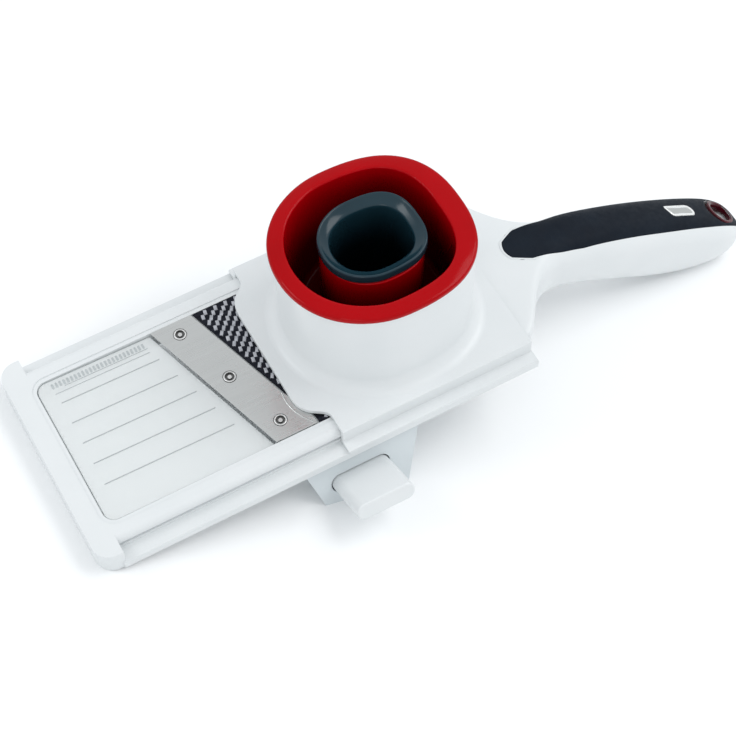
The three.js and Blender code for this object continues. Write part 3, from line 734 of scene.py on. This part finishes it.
def skin_above(point, direction):
    """How far along a direction from inside the handle its skin lies."""
    low, high = 0.0, 60.0
    for _ in range(24):
        middle = (low + high) / 2
        probe = point + direction * middle
        if probe.x > HANDLE_TIP - 0.05:
            high = middle
            continue
        half, centre, tall, squareness = handle_section(probe.x)
        inside = abs(probe.y / half) ** squareness + abs((probe.z - centre) / tall) ** squareness < 1
        if inside:
            low = middle
        else:
            high = middle
    return low


def ring_piece():
    """The liner of the hanging hole: its two lips follow the handle's skin."""
    middle = Vector((RING_X, 0, RING_Z - 12))
    foot = 4
    profile = [(RING_OUTER, -2.5), (RING_OUTER, -0.1), (RING_OUTER - 0.35, 0.25), (RING_OUTER - 0.9, 0.35),
               (RING_OUTER - 1.6, 0.15), (RING_OUTER - 2.3, -0.5), (RING_INNER + 0.3, -1.5),
               (RING_INNER, -3.0)]
    rings = [[] for _ in range(len(profile) + 2)]
    for sine, cosine in full_turn(64):
        out = TABLE_ALONG * cosine + Vector((0, sine, 0))
        for ring, (radius, lift) in zip(rings, profile):
            start = middle + out * radius
            ring.append(start + TABLE_UP * (skin_above(start, TABLE_UP) + lift))
        for ring, radius in ((rings[-2], RING_INNER), (rings[-1], RING_OUTER)):
            ring.append(middle + out * radius + TABLE_UP * foot)
    return loft(rings, "ring_liner", closed=True)


def badge_outline(inset):
    """A lozenge with a slanted front end and a rounded rear end, about the badge's middle."""
    half_long = 10.0 - inset
    half_wide = 3.7 - inset
    slant = 1.5
    points = []
    for side_x, side_y, start in ((1, -1, -90), (1, 1, 0), (-1, 1, 90), (-1, -1, 180)):
        corner = max((3.3 if side_x > 0 else 1.9) - inset, 0.3)
        cx = side_x * (half_long - corner)
        cy = side_y * (half_wide - corner)
        for x, y in arc(cx, cy, corner, start, 6):
            lean = slant * (y / half_wide) * (1 if x < 0 else 0.5)
            points.append((x - lean, y))
    return points


def badge_frame():
    rise = spline_height(TOP_LINE, BADGE_X + 8) - spline_height(TOP_LINE, BADGE_X - 8)
    slope = math.atan2(rise, 16)
    place = Matrix.Translation((BADGE_X, 0, spline_height(TOP_LINE, BADGE_X)))
    return place @ Matrix.Rotation(-slope, 4, "Y")


def badge_block(grow, low, high):
    place = badge_frame()
    rings = []
    for height in (low, high):
        rings.append([place @ Vector((x, y, height)) for x, y in badge_outline(-grow)])
    return loft(rings)


def badge_pieces():
    place = badge_frame()

    def ring(inset, height):
        return [place @ Vector((x, y, height - 0.012 * y * y)) for x, y in badge_outline(inset)]

    rim = loft([ring(0, -2), ring(0, 0.1), ring(0.15, 0.32), ring(0.4, 0.4), ring(1.1, 0.34),
                ring(1.3, 0.1), ring(1.35, -1)], "badge_rim")
    face = loft([ring(1.4, -1.2), ring(1.4, -0.1), ring(1.6, 0.02), ring(2.4, 0.06)], "badge_face")
    return rim, face


# ---- frame
def table_height(x):
    return -DEPTH + REST_TRIM - math.tan(PITCH) * x


def below_table(name="tool"):
    far = 420.0
    deep = 200.0
    return side_prism([(-40, table_height(-40)), (-40, -deep), (far, -deep), (far, table_height(far))],
                      -120, 120, name)


def front_block():
    side = HALF_WIDTH - 0.8
    outline = [(END_BLOCK, -side), (END_BLOCK, side)]
    for start, cy in ((90, side - END_CORNER), (180, -side + END_CORNER)):
        outline += arc(END_CORNER, cy, END_CORNER, start, 12)
    return prism(outline, -DEPTH, 0)


def shoulder_cutter(side, radius):
    """What is cut away to round a rail's outer shoulder."""
    section = [(RAIL_HALF + 1, -radius), (RAIL_HALF + 1, 1), (RAIL_HALF - radius, 1)]
    for sine, cosine in reversed(quarter_turn(10)):
        section.append((RAIL_HALF - radius + radius * cosine, radius * (sine - 1)))
    ends = (END_BLOCK, LEDGE_END + 2)
    return loft([[Vector((x, side * y, z)) for y, z in section] for x in ends])


def platform_body():
    body = front_block()
    boolean(body, box(END_BLOCK - 1, LEDGE_END, -HALF_WIDTH, HALF_WIDTH, -DEPTH, LEDGE), "UNION")
    boolean(body, box(END_BLOCK - 2, LEDGE_END, -RAIL_HALF, RAIL_HALF, -DEPTH, 0), "UNION")
    rear = edge_at(-WINDOW_HALF, BLADE_DEPTH) + 4
    boolean(body, prism(rounded_rectangle(END_BLOCK, rear + 20, -WINDOW_HALF, WINDOW_HALF, WINDOW_CORNER),
                        -DEPTH - 2, 2))
    boolean(body, box(rear - 2, rear + 24, -WINDOW_HALF - 1, WINDOW_HALF + 1, -DEPTH, 0), "UNION")
    boolean(body, box(rear - 4, POCKET_REAR, -WINDOW_HALF, WINDOW_HALF, -DEPTH - 2, -POCKET_TOP))
    bridge = prism(skew_outline(BRIDGE_FRONT, rear + 1 - EDGE_X, WINDOW_HALF + 1), -BRIDGE_DEPTH, 0)
    boolean(bridge, box(0, rear + 0.5, -WINDOW_HALF - 1, WINDOW_HALF + 1, -20, 1), "INTERSECT")
    boolean(body, bridge, "UNION")
    boolean(body, prism(skew_outline(-10, BLADE_DEPTH + 0.6, WINDOW_HALF), -BLADE_THICK - GAP, 2))
    behind = BLADE_DEPTH + 0.3
    boolean(body, prism([(edge_at(-WINDOW_HALF, behind), -WINDOW_HALF), (PLATE_REAR, -WINDOW_HALF),
                         (PLATE_REAR, WINDOW_HALF), (edge_at(WINDOW_HALF, behind), WINDOW_HALF)],
                        -PLATE_RECESS, 2))
    step = rounded_rectangle(END_BLOCK - BEAD, PLATE_REAR + BEAD, -WINDOW_HALF - BEAD, WINDOW_HALF + BEAD,
                             WINDOW_CORNER + BEAD)
    boolean(body, prism(step, -0.6, 2))
    for side in (-1, 1):
        boolean(body, shoulder_cutter(side, 3.6))
        wall = (side * (RAIL_HALF - 1.6), side * (RAIL_HALF + 0.4))
        boolean(body, box(END_BLOCK, LEDGE_END + 2, min(wall), max(wall), -6.6, -4.4))
    boolean(body, below_table())
    return body


def platform_radius(middle, direction):
    """How much each kind of platform edge is rounded."""
    x, y, z = middle
    y = abs(y)
    upright = abs(direction.z) > 0.9
    if x < END_BLOCK - 1 and z > -0.5 and (x < END_CORNER and y > 48 or x < 1 or y > 55):
        return 2.4
    if z < -DEPTH + 2 or x > LEDGE_END - 1:
        return 0.6
    if abs(y - RAIL_HALF) < 0.3 and z < -8 and not upright:
        return 1.2
    if abs(z - LEDGE) < 0.2 and y > RAIL_HALF + 1:
        return 0.9
    if x < END_BLOCK + 2 and y > RAIL_HALF - 1:
        return 1.6
    return 0.3


def frame_piece():
    body = platform_body()
    round_edges(body, platform_radius, 4)
    handle = handle_body()
    boolean(handle, upright_cylinder(RING_INNER, -60, 40))
    boolean(handle, upright_cylinder(RING_OUTER + 0.1, -9, 40))
    boolean(handle, below_table())
    body = join(body, handle)
    return body


def grip_bead():
    """The thin raised white lip that outlines the grip."""
    width = 0.6
    xs = stations(396, 264, 3) + stations(262.5, GRIP_FRONT + 1.5, 1)
    xs += [GRIP_FRONT + f for f in (0.9, 0.4, 0.1)]
    side = []
    for x in xs:
        y = grip_half(x)
        slope = (grip_half(x + 0.05) - grip_half(x - 0.05)) / 0.1
        long = math.sqrt(1 + slope * slope)
        side.append((x - width * slope / long, y + width / long))
    sunk = -0.15
    points = [skin_point(x, -y, sunk) for x, y in side]
    points.append(skin_point(GRIP_FRONT - width, 0, sunk))
    points += [skin_point(x, y, sunk) for x, y in reversed(side)]
    return tube(points, width, "grip_lip")


def tube(points, radius, name, segments=10):
    rings = []
    for i, point in enumerate(points):
        before = points[max(i - 1, 0)]
        after = points[min(i + 1, len(points) - 1)]
        along = (after - before).normalized()
        across = along.cross(Vector((0, 0, 1))).normalized()
        up = across.cross(along)
        rings.append([point + across * (radius * cosine) + up * (radius * sine)
                      for sine, cosine in full_turn(segments)])
    return loft(rings, name)


# ---- blade, screws and textured plate
def screw_spots():
    return [(edge_at(y, SCREW_BEHIND), y) for y in SCREW_YS]


LOBE_REACH = 1.7
LOBE = (-20.0, -42.0)     # where the blade's rear edge bulges towards the handle


def lobe_reach(y, reach):
    """A rounded bulge between the two ends of the lobe."""
    along = (y - LOBE[0]) / (LOBE[1] - LOBE[0])
    if along <= 0 or along >= 1:
        return 0.0
    return reach * math.sin(math.pi * along) ** 0.8


def lobe_outline(gap):
    """The lobe's plan, grown rearwards by a gap."""
    steps = 24
    ys = [mix(LOBE[0], LOBE[1], i / steps) for i in range(steps + 1)]
    rear = [(edge_at(y, BLADE_DEPTH + gap) + lobe_reach(y, LOBE_REACH), y) for y in ys]
    return rear + [(edge_at(y, BLADE_DEPTH - 2), y) for y in (LOBE[1], LOBE[0])]


def blade_piece():
    half = WINDOW_HALF - GAP
    nose = 1.8
    rear_line = []
    for i in range(49):
        y = mix(half, -half, i / 48)
        rear_line.append((edge_at(y, BLADE_DEPTH) + lobe_reach(y, LOBE_REACH), y))
    outline = [(edge_at(-half, nose), -half)] + list(reversed(rear_line)) + [(edge_at(half, nose), half)]
    blade = prism(outline, -BLADE_THICK, 0, "blade_plate")
    for x, y in screw_spots():
        boolean(blade, prism(disc(3.4, x, y), -0.9, 2))
    round_edges(blade, lambda middle, direction: 0.25, 2)
    points = []
    for y in (-half, half):
        points += [(edge_at(y, 0), y, -0.25), (edge_at(y, 0.1), y, -0.12),
                   (edge_at(y, nose + 0.4), y, 0), (edge_at(y, nose + 0.4), y, -BLADE_THICK)]
    faces = [(0, 4, 5, 1), (1, 5, 6, 2), (2, 6, 7, 3), (3, 7, 4, 0), (0, 1, 2, 3), (7, 6, 5, 4)]
    join(blade, new_object("bevel", points, faces))
    crease = []
    for i in range(25):
        y = mix(LOBE[0] + 0.5, LOBE[1] + 0.6, i / 24)
        crease.append(Vector((edge_at(y, BLADE_DEPTH - 0.5) - lobe_reach(y, 2.9), y, -0.15)))
    return join(blade, tube(crease, 0.45, "crease"))


def screw_head(x, y):
    """A low head with a ring-shaped drive recess, in its countersink."""
    profile = ((3.1, -0.85), (3.1, 0.05), (2.95, 0.2), (2.6, 0.25), (2.4, 0.15), (2.3, -2.8), (1.2, -2.8),
               (1.1, -0.1), (0.95, 0.05), (0.3, 0.08))
    rings = [[(px + x, py + y, z) for px, py in disc(r, 0, 0, 48)] for r, z in profile]
    return loft(rings, "screw_head")


def boss(x, y, turn, long, wide, z0, z1):
    """The rings of one raised boss with sloping sides and a domed top."""
    c, s = math.cos(turn), math.sin(turn)
    rings = []
    for half_long, half_wide, z in ((long, wide, z0), (long * 0.9, wide * 0.8, mix(z0, z1, 0.7)),
                                    (long * 0.7, wide * 0.5, z1)):
        corners = [(u * half_long, v * half_wide) for u, v in ((-1, -1), (1, -1), (1, 1), (-1, 1))]
        rings.append([(x + px * c - py * s, y + px * s + py * c, z) for px, py in corners])
    return rings


def plate_pieces():
    seat = -PLATE_RECESS + GAP
    face = seat + 0.8
    half = WINDOW_HALF - GAP
    behind = BLADE_DEPTH + 0.9
    plate = prism([(edge_at(-half, behind), -half), (PLATE_REAR - GAP, -half),
                   (PLATE_REAR - GAP, half), (edge_at(half, behind), half)], seat, face, "plate_sheet")
    boolean(plate, prism(lobe_outline(GAP * 3), seat - 1, face + 1))
    round_edges(plate, lambda middle, direction: 0.15, 1)
    rows, side_columns = 48, 11
    pitch_x, pitch_y = 2.8, 4.2
    first_row = 96
    boss_long, boss_wide = 1.55, 1.0      # half sizes
    points, faces = [], []
    for row in range(rows):
        for column in range(-side_columns, side_columns + 1):
            y = column * pitch_y + (pitch_y / 2 if row % 2 else 0)
            x = first_row + row * pitch_x - SKEW * y
            if abs(y) > half - 2 or x < edge_at(y, behind + 1.2) + lobe_reach(y, 3) or x > PLATE_REAR - 3:
                continue
            turn = math.radians(78 if column % 2 else 58)
            add_solid(points, faces, boss(x, y, turn, boss_long, boss_wide, face - 0.05, 0.1))
    bosses = new_object("plate_bosses", points, faces)
    return plate, bosses


# ---- ramp
RAMP_FRONT = END_BLOCK + 0.6
RAMP_SIDE = WINDOW_HALF - 0.5
RAMP_THICK = 2.6
RAMP_LOW = 1.2            # the ramp's front end, under the platform's top
RAMP_FALL = 1.3           # how much lower its rear end is
RIB_START = 20.0


def ramp_height(x):
    return -RAMP_LOW - RAMP_FALL * (x - RAMP_FRONT) / (EDGE_X - RAMP_FRONT)


def ramp_piece():
    reach = edge_at(-RAMP_SIDE, 5)
    front_z, rear_z = ramp_height(RAMP_FRONT), ramp_height(reach)
    ramp = side_prism([(RAMP_FRONT, front_z - RAMP_THICK), (reach, rear_z - RAMP_THICK),
                       (reach, rear_z), (RAMP_FRONT, front_z)], -RAMP_SIDE, RAMP_SIDE, "ramp_sheet")
    outline = rounded_rectangle(RAMP_FRONT, 160, -RAMP_SIDE, RAMP_SIDE, WINDOW_CORNER - 0.8)
    boolean(ramp, prism(outline, -20, 20), "INTERSECT")
    boolean(ramp, prism(skew_outline(-0.5, 200, RAMP_SIDE + 2), -21, 21))
    round_edges(ramp, lambda middle, direction: 0.5, 3)
    return ramp


def rib_piece():
    """The low ribs that food slides on, and the fine comb along the far side."""
    points, faces = [], []

    def add_rib(x0, x1, y0, y1, rise):
        rings = []
        for x in (x0, x1):
            z = ramp_height(x)
            rings.append([(x, y0, z - 0.2), (x, y1, z - 0.2), (x, mix(y0, y1, 0.7), z + rise),
                          (x, mix(y0, y1, 0.3), z + rise)])
        add_solid(points, faces, rings)

    for y in RIB_YS:
        add_rib(RIB_START + 0.02 * y, edge_at(y, -6.5), y - 0.3, y + 0.3, 0.4)
    comb_teeth, comb_pitch = 25, 2.0
    for i in range(comb_teeth):
        x = RIB_START + i * comb_pitch
        add_rib(x, x + comb_pitch / 2, 36.2, 40.2, 0.3)
    for x, y in ((RIB_START, 33.5), (RIB_START + 6, 36)):
        add_rib(x, 70, y - 0.15, y + 0.15, 0.3)
    return new_object("ramp_ribs", points, faces)


# ---- carriage
def carriage_front(side):
    """X of the front end beside the near (-1) or the far (+1) rail."""
    return CARRIAGE_FRONT if side < 0 else CARRIAGE_FRONT - 2.5


def deck_outline():
    outer = RAIL_HALF + GAP + WALL
    outline = [(CARRIAGE_REAR, -outer), (CARRIAGE_REAR, outer), (carriage_front(1), outer)]
    steps = 16
    for side, start in ((1, 48), (-1, 44.5)):
        front = carriage_front(side)
        curve = ((front, start), (front, start - 8), (CARRIAGE_NOSE, start - 5), (CARRIAGE_NOSE, start - 20))
        bend = []
        for i in range(steps + 1):
            x, y = (bezier(curve, axis, i / steps) for axis in (0, 1))
            bend.append((x, side * y))
        outline += bend if side > 0 else list(reversed(bend))
    outline.append((CARRIAGE_FRONT, -outer))
    return outline


def tube_ring(half_x, half_y, z, centre=BARREL_X, segments=96, round_side=2.1, square_side=2.45):
    """The feed tube's outline: round towards the blade and squarer towards the handle."""
    ring = []
    for s, c in full_turn(segments):
        power = 2 / mix(round_side, square_side, smoothstep(c, -0.5, 0.5))
        ring.append(Vector((centre + half_x * math.copysign(abs(c) ** power, c),
                            half_y * math.copysign(abs(s) ** power, s), z)))
    return ring


def carriage_radius(middle, direction):
    x, y, z = middle
    y = abs(y)
    fold = RAIL_HALF + GAP + WALL
    along = abs(direction.x) > 0.9
    if along and abs(y - fold) < 0.2 and z > 1:
        return 3.0
    if along and abs(y - fold) < 0.2 and z < -5:
        return 1.4
    if z > DECK_TOP - 0.2 and y < fold:
        return 0.8
    if abs(x - CARRIAGE_FRONT) < 3 or abs(x - CARRIAGE_REAR) < 1:
        return 0.7
    return 0.4


def carriage_piece():
    inner = RAIL_HALF + GAP
    deck = prism(deck_outline(), DECK_LOW, DECK_TOP, "deck")
    low = LEDGE + GAP
    for side in (-1, 1):
        front = carriage_front(side)
        for y0, y1, z0, z1, x0, x1 in (
                (inner, inner + WALL, low, DECK_TOP, front, CARRIAGE_REAR),
                (inner, HALF_WIDTH + 0.6, low, low + 2, front, CARRIAGE_REAR),
                (RAIL_HALF - 1.3, inner + 1, -6.3, -4.7, front + 2, CARRIAGE_REAR - 2)):
            ys = sorted((side * y0, side * y1))
            boolean(deck, box(x0, x1, ys[0], ys[1], z0, z1), "UNION")
    bore = (BARREL_HALF[0] - WALL, BARREL_HALF[1] - WALL)
    boolean(deck, loft([tube_ring(*bore, -3), tube_ring(*bore, 6)]))
    round_edges(deck, carriage_radius, 5)
    return join(deck, barrel_shell())


def barrel_shell():
    half_x, half_y = BARREL_HALF
    flare = 7.0           # radius of the cove where the tube meets the deck
    flare_tall = 1.15

    def wall(inset, z):
        return tube_ring(half_x - inset, half_y - inset, z)

    rings = [wall(-flare, DECK_TOP - 0.4)]
    for sine, cosine in quarter_turn(12):
        rings.append(wall(-flare * (1 - sine), DECK_TOP + flare * flare_tall * (1 - cosine)))
    rings += [wall(0, 25), wall(0, 40)]
    brim = ((0, 0.8), (0.25, 0.2), (0.8, 0), (1.4, 0), (WALL - 0.2, 0.3), (WALL, 1.0))
    rings += [wall(inset, BARREL_TOP - down) for inset, down in brim]
    rings += [wall(WALL, 30), wall(WALL, DECK_LOW + 0.3)]
    return loft(rings, "barrel", closed=True)


# ---- pushers
SLEEVE = (22.6, 21.2)
SLEEVE_X = BARREL_X - 1.3
RIM = (48.5, 44.9)
RIM_X = BARREL_X - 1.6
LIP = (38.6, 37.0)
LIP_X = BARREL_X - 3.4   # the red cup's mouth sits forward of the barrel's centre


def large_pusher_piece():
    out_x = BARREL_HALF[0] - WALL - 0.6
    out_y = BARREL_HALF[1] - WALL - 0.6
    rim_z = BARREL_TOP + GAP

    def body(inset, z):
        return tube_ring(out_x - inset, out_y - inset, z)

    def rim(inset, z):
        return tube_ring(RIM[0] - inset, RIM[1] - inset, z, RIM_X)

    def lip(inset, z, centre=LIP_X):
        return tube_ring(LIP[0] - inset, LIP[1] - inset, z, centre, round_side=2.05, square_side=2.75)

    def sleeve(outset, z):
        return tube_ring(SLEEVE[0] + outset, SLEEVE[1] + outset, z, SLEEVE_X)

    rings = [body(inset, PUSHER_FLOOR + up) for inset, up in ((1.6, 0), (0.8, 0.2), (0.2, 0.9), (0, 2))]
    rings += [body(0, 30), body(0, rim_z - 0.4), body(-0.3, rim_z)]
    rings += [rim(inset, rim_z + up) for inset, up in ((1.2, 0), (0.3, 0.3), (0, 0.9))]
    rings += [rim(inset, RIM_TOP - down) for inset, down in ((0, 2.4), (0.2, 1.6), (0.8, 1.0), (1.8, 0.7))]
    rings.append(lip(-3.6, RIM_TOP - 0.15, mix(LIP_X, RIM_X, 0.3)))
    edge = ((-1.4, 0), (-0.6, 0.08), (-0.1, 0.5), (0.1, 1.2))
    rings += [lip(inset, RIM_TOP - down) for inset, down in edge]
    depth = RIM_TOP - PUSHER_FLOOR - 6.4
    steps = 9
    for i in range(1, steps):
        t = i / steps
        rings.append(lip(2 * t, RIM_TOP - 1.2 - depth * t, mix(LIP_X, BARREL_X, t)))
    corner = 2.8
    for sine, cosine in quarter_turn(4):
        rings.append(lip(2.2 + corner * (1 - cosine), PUSHER_FLOOR + 5.2 - corner * sine, BARREL_X))
    top = RIM_TOP - 5
    rings += [sleeve(outset, PUSHER_FLOOR + up) for outset, up in ((3.4, 2.4), (2.3, 2.9), (1.8, 4.2))]
    brim = ((1.8, 1.6), (2.1, 1.2), (2.3, 0.7), (2.0, 0.15), (1.4, 0), (0.4, 0), (0, 0.5))
    rings += [sleeve(outset, top - down) for outset, down in brim]
    rings += [sleeve(0, 30), sleeve(0, PUSHER_FLOOR)]
    pusher = loft(rings, "pusher_cup", closed=True)
    return join(pusher, food_pins(ring_spots(16, 32), BARREL_X, "pins"))


def ring_spots(count, radius):
    angles = [2 * math.pi * (i + 0.5) / count for i in range(count)]
    return [(radius * math.cos(angle), radius * math.sin(angle)) for angle in angles]


def food_pins(spots, centre, name):
    """Tapered pins under a pusher's floor, which hold the food."""
    points, faces = [], []
    for px, py in spots:
        add_solid(points, faces, [[(x, y, PUSHER_FLOOR + z) for x, y in disc(radius, centre + px, py, 10)]
                                  for radius, z in ((1.1, 0.3), (0.9, -1.2), (0.6, -2.4), (0.3, -3.0))])
    return new_object(name, points, faces)


def small_pusher_piece():
    under = RIM_TOP - 5 + GAP
    top = RIM_TOP + 0.5
    half_x, half_y = 25.4, 22.8

    def stem(inset, z):
        return tube_ring(SLEEVE[0] - 0.5 - inset, SLEEVE[1] - 0.5 - inset, z, SLEEVE_X)

    def mouth(inset, z):
        return tube_ring(half_x - inset, half_y - inset, z, SLEEVE_X, round_side=2.15, square_side=2.7)

    rings = [stem(inset, PUSHER_FLOOR + up) for inset, up in ((1.4, 0), (0.3, 0.3), (0, 1.2))]
    rings += [stem(0, 30), stem(0, under - 0.3), stem(-0.2, under)]
    rings += [mouth(inset, under + up) for inset, up in ((0.7, 0), (0.1, 0.4), (0, 1.2))]
    brim = ((0, 1.4), (0.1, 0.6), (0.4, 0.12), (0.8, 0), (1.3, 0.2), (1.9, 0.9), (3.2, 1.9),
            (4.6, 2.8), (5.2, 3.1), (5.7, 3.7), (5.9, 5))
    rings += [mouth(inset, top - down) for inset, down in brim]
    floor = PUSHER_FLOOR + 2.4
    corner = 2.5
    steps = 8
    for i in range(1, steps):
        t = i / steps
        rings.append(mouth(5.9 + t, mix(top - 5, floor + corner, t)))
    for sine, cosine in quarter_turn(4):
        rings.append(mouth(7 + corner * (1 - cosine), floor + corner - corner * sine))
    rings.append(tube_ring(4, 4, floor, SLEEVE_X))
    pusher = loft(rings, "small_cup")
    return join(pusher, food_pins(ring_spots(6, 13) + [(0, 0)], SLEEVE_X, "pins"))


# ---- selector button
def button_matrix():
    """The button's own frame: +Z points out of the housing."""
    down = -DEPTH - GAP - BUTTON_ROOT_Z
    root = Vector((BUTTON_X, -(FOOT_TOP_HALF + math.tan(FOOT_SLOPE) * down), BUTTON_ROOT_Z))
    return Matrix.Translation(root) @ Matrix.Rotation(math.pi / 2 - FOOT_SLOPE, 4, "X")


def button_piece():
    place = button_matrix()

    def ring(inset, z):
        half = BUTTON_THICK / 2 - inset
        long = BUTTON_WIDE / 2 - inset
        outline = rounded_rectangle(-long, long, -half, half, half - 0.01, 16)
        return [place @ Vector((x, y, z)) for x, y in outline]

    rings = [ring(0.6, -BUTTON_IN), ring(0.1, -BUTTON_IN + 0.4), ring(0.05, 5), ring(0, 12), ring(0, 20)]
    round_radius = 0.9
    for sine, cosine in quarter_turn(5):
        rings.append(ring(round_radius * (1 - cosine), BUTTON_OUT - round_radius * (1 - sine)))
    rings += [ring(1.3, BUTTON_OUT - 0.02), ring(2.2, BUTTON_OUT - 0.12), ring(3.6, BUTTON_OUT - 0.18)]
    return loft(rings, "button_cap")


# ---- kept CAD nodes
def keep_node(name, material, radius, segments=2, angle=35):
    """Keeps a CAD node's shape and rounds its edges."""
    obj = frame["nodes"][name]
    obj.data.materials.clear()
    obj.data.materials.append(material)
    modifier = obj.modifiers.new("round", "BEVEL")
    modifier.width = radius * MM
    modifier.segments = segments
    modifier.limit_method = "ANGLE"
    modifier.angle_limit = math.radians(angle)
    normals = obj.modifiers.new("normals", "WEIGHTED_NORMAL")
    normals.keep_sharp = True


# ---- assembly
add_camera()
add_world()
add_area_light("key", (0.8, -0.2, 1.6), (0, 0, 0), (1.2, 1.0), 11, (1, 1, 1))
add_area_light("side", (-1.0, -1.0, 0.7), (0, 0, 0.03), (0.5, 0.6), 1.5, (1, 0.99, 0.97))
add_area_light("far", (-1.2, 0.5, 1.0), (0.05, 0, 0.03), (0.5, 0.5), 3, (0.97, 0.99, 1))
add_floor()

WHITE = white_plastic()
INNER = inner_plastic()
RED = red_plastic()
SLATE = slate_plastic()
STEEL = brushed_steel("blade_steel", (0.61, 0.62, 0.61), (0.64, 0.65, 0.64), 0.26, 0.31)
SCREW = brushed_steel("screw_steel", (0.7, 0.7, 0.69), (0.78, 0.78, 0.77), 0.34, 0.44)
HEAD = screw_metal()
PLATE = brushed_steel("plate_steel", (0.012, 0.013, 0.018), (0.03, 0.032, 0.042), 0.3, 0.45)
# painted highlight: the bosses are a brighter copy of the plate's dark steel, for the glints on its teeth
BOSS = brushed_steel("boss_steel", (0.38, 0.39, 0.42), (0.6, 0.61, 0.65), 0.3, 0.45)
SILVER = badge_metal("badge_rim", (0.95, 0.95, 0.94), 0.25)
GREY_SILVER = badge_metal("badge_face", (0.5, 0.51, 0.5), 0.35)
RUBBER = rubber()

finish_piece(frame_piece(), "frame_shell", "base", WHITE, ("frame",))
finish_piece(grip_bead(), "grip_lip", "base", WHITE)
finish_piece(grip_piece(), "grip_skin", "base", soft_grip(), ("grip",), 50)
badge_rim, badge_face = badge_pieces()
finish_piece(badge_rim, "badge_rim", "base", SILVER, ("badge",))
finish_piece(badge_face, "badge_face", "base", GREY_SILVER)
finish_piece(ring_piece(), "ring_liner", "base", dark_red_plastic(), ("hang_ring",))
finish_piece(blade_piece(), "blade_plate", "base", STEEL, ("blade",))
for number, spot in enumerate(screw_spots(), 1):
    node = f"blade_screw_{number}"
    finish_piece(screw_head(*spot), f"screw_head_{number}", "base", HEAD, (node,))
plate_sheet, plate_bosses = plate_pieces()
finish_piece(plate_sheet, "plate_sheet", "base", PLATE, ("textured_plate",))
finish_piece(plate_bosses, "plate_bosses", "base", BOSS, (), 25)
finish_piece(ramp_piece(), "ramp_sheet", "ramp", clear_plastic(), ("ramp",))
finish_piece(rib_piece(), "ramp_ribs", "ramp", rib_plastic())
finish_piece(carriage_piece(), "carriage_shell", "carriage", WHITE, ("carriage",))
finish_piece(large_pusher_piece(), "pusher_cup", "large_pusher", RED, ("large_pusher",), 60)
finish_piece(small_pusher_piece(), "small_cup", "small_pusher", SLATE, ("small_pusher",), 60)
finish_piece(button_piece(), "button_cap", "selector", WHITE, ("selector_button",), 60)

keep_node("foot_housing", housing_plastic(), 0.8, 3)
keep_node("lift_arm", INNER, 0.3)
keep_node("selector_wedge", INNER, 0.2)
for name in ("foot_pad_near", "foot_pad_far"):
    keep_node(name, RUBBER, 0.4, 3)
for name in ("hinge_pin_near", "hinge_pin_far"):
    keep_node(name, SCREW, 0.15)
for number in range(1, 5):
    keep_node(f"foot_screw_{number}", SCREW, 0.15)
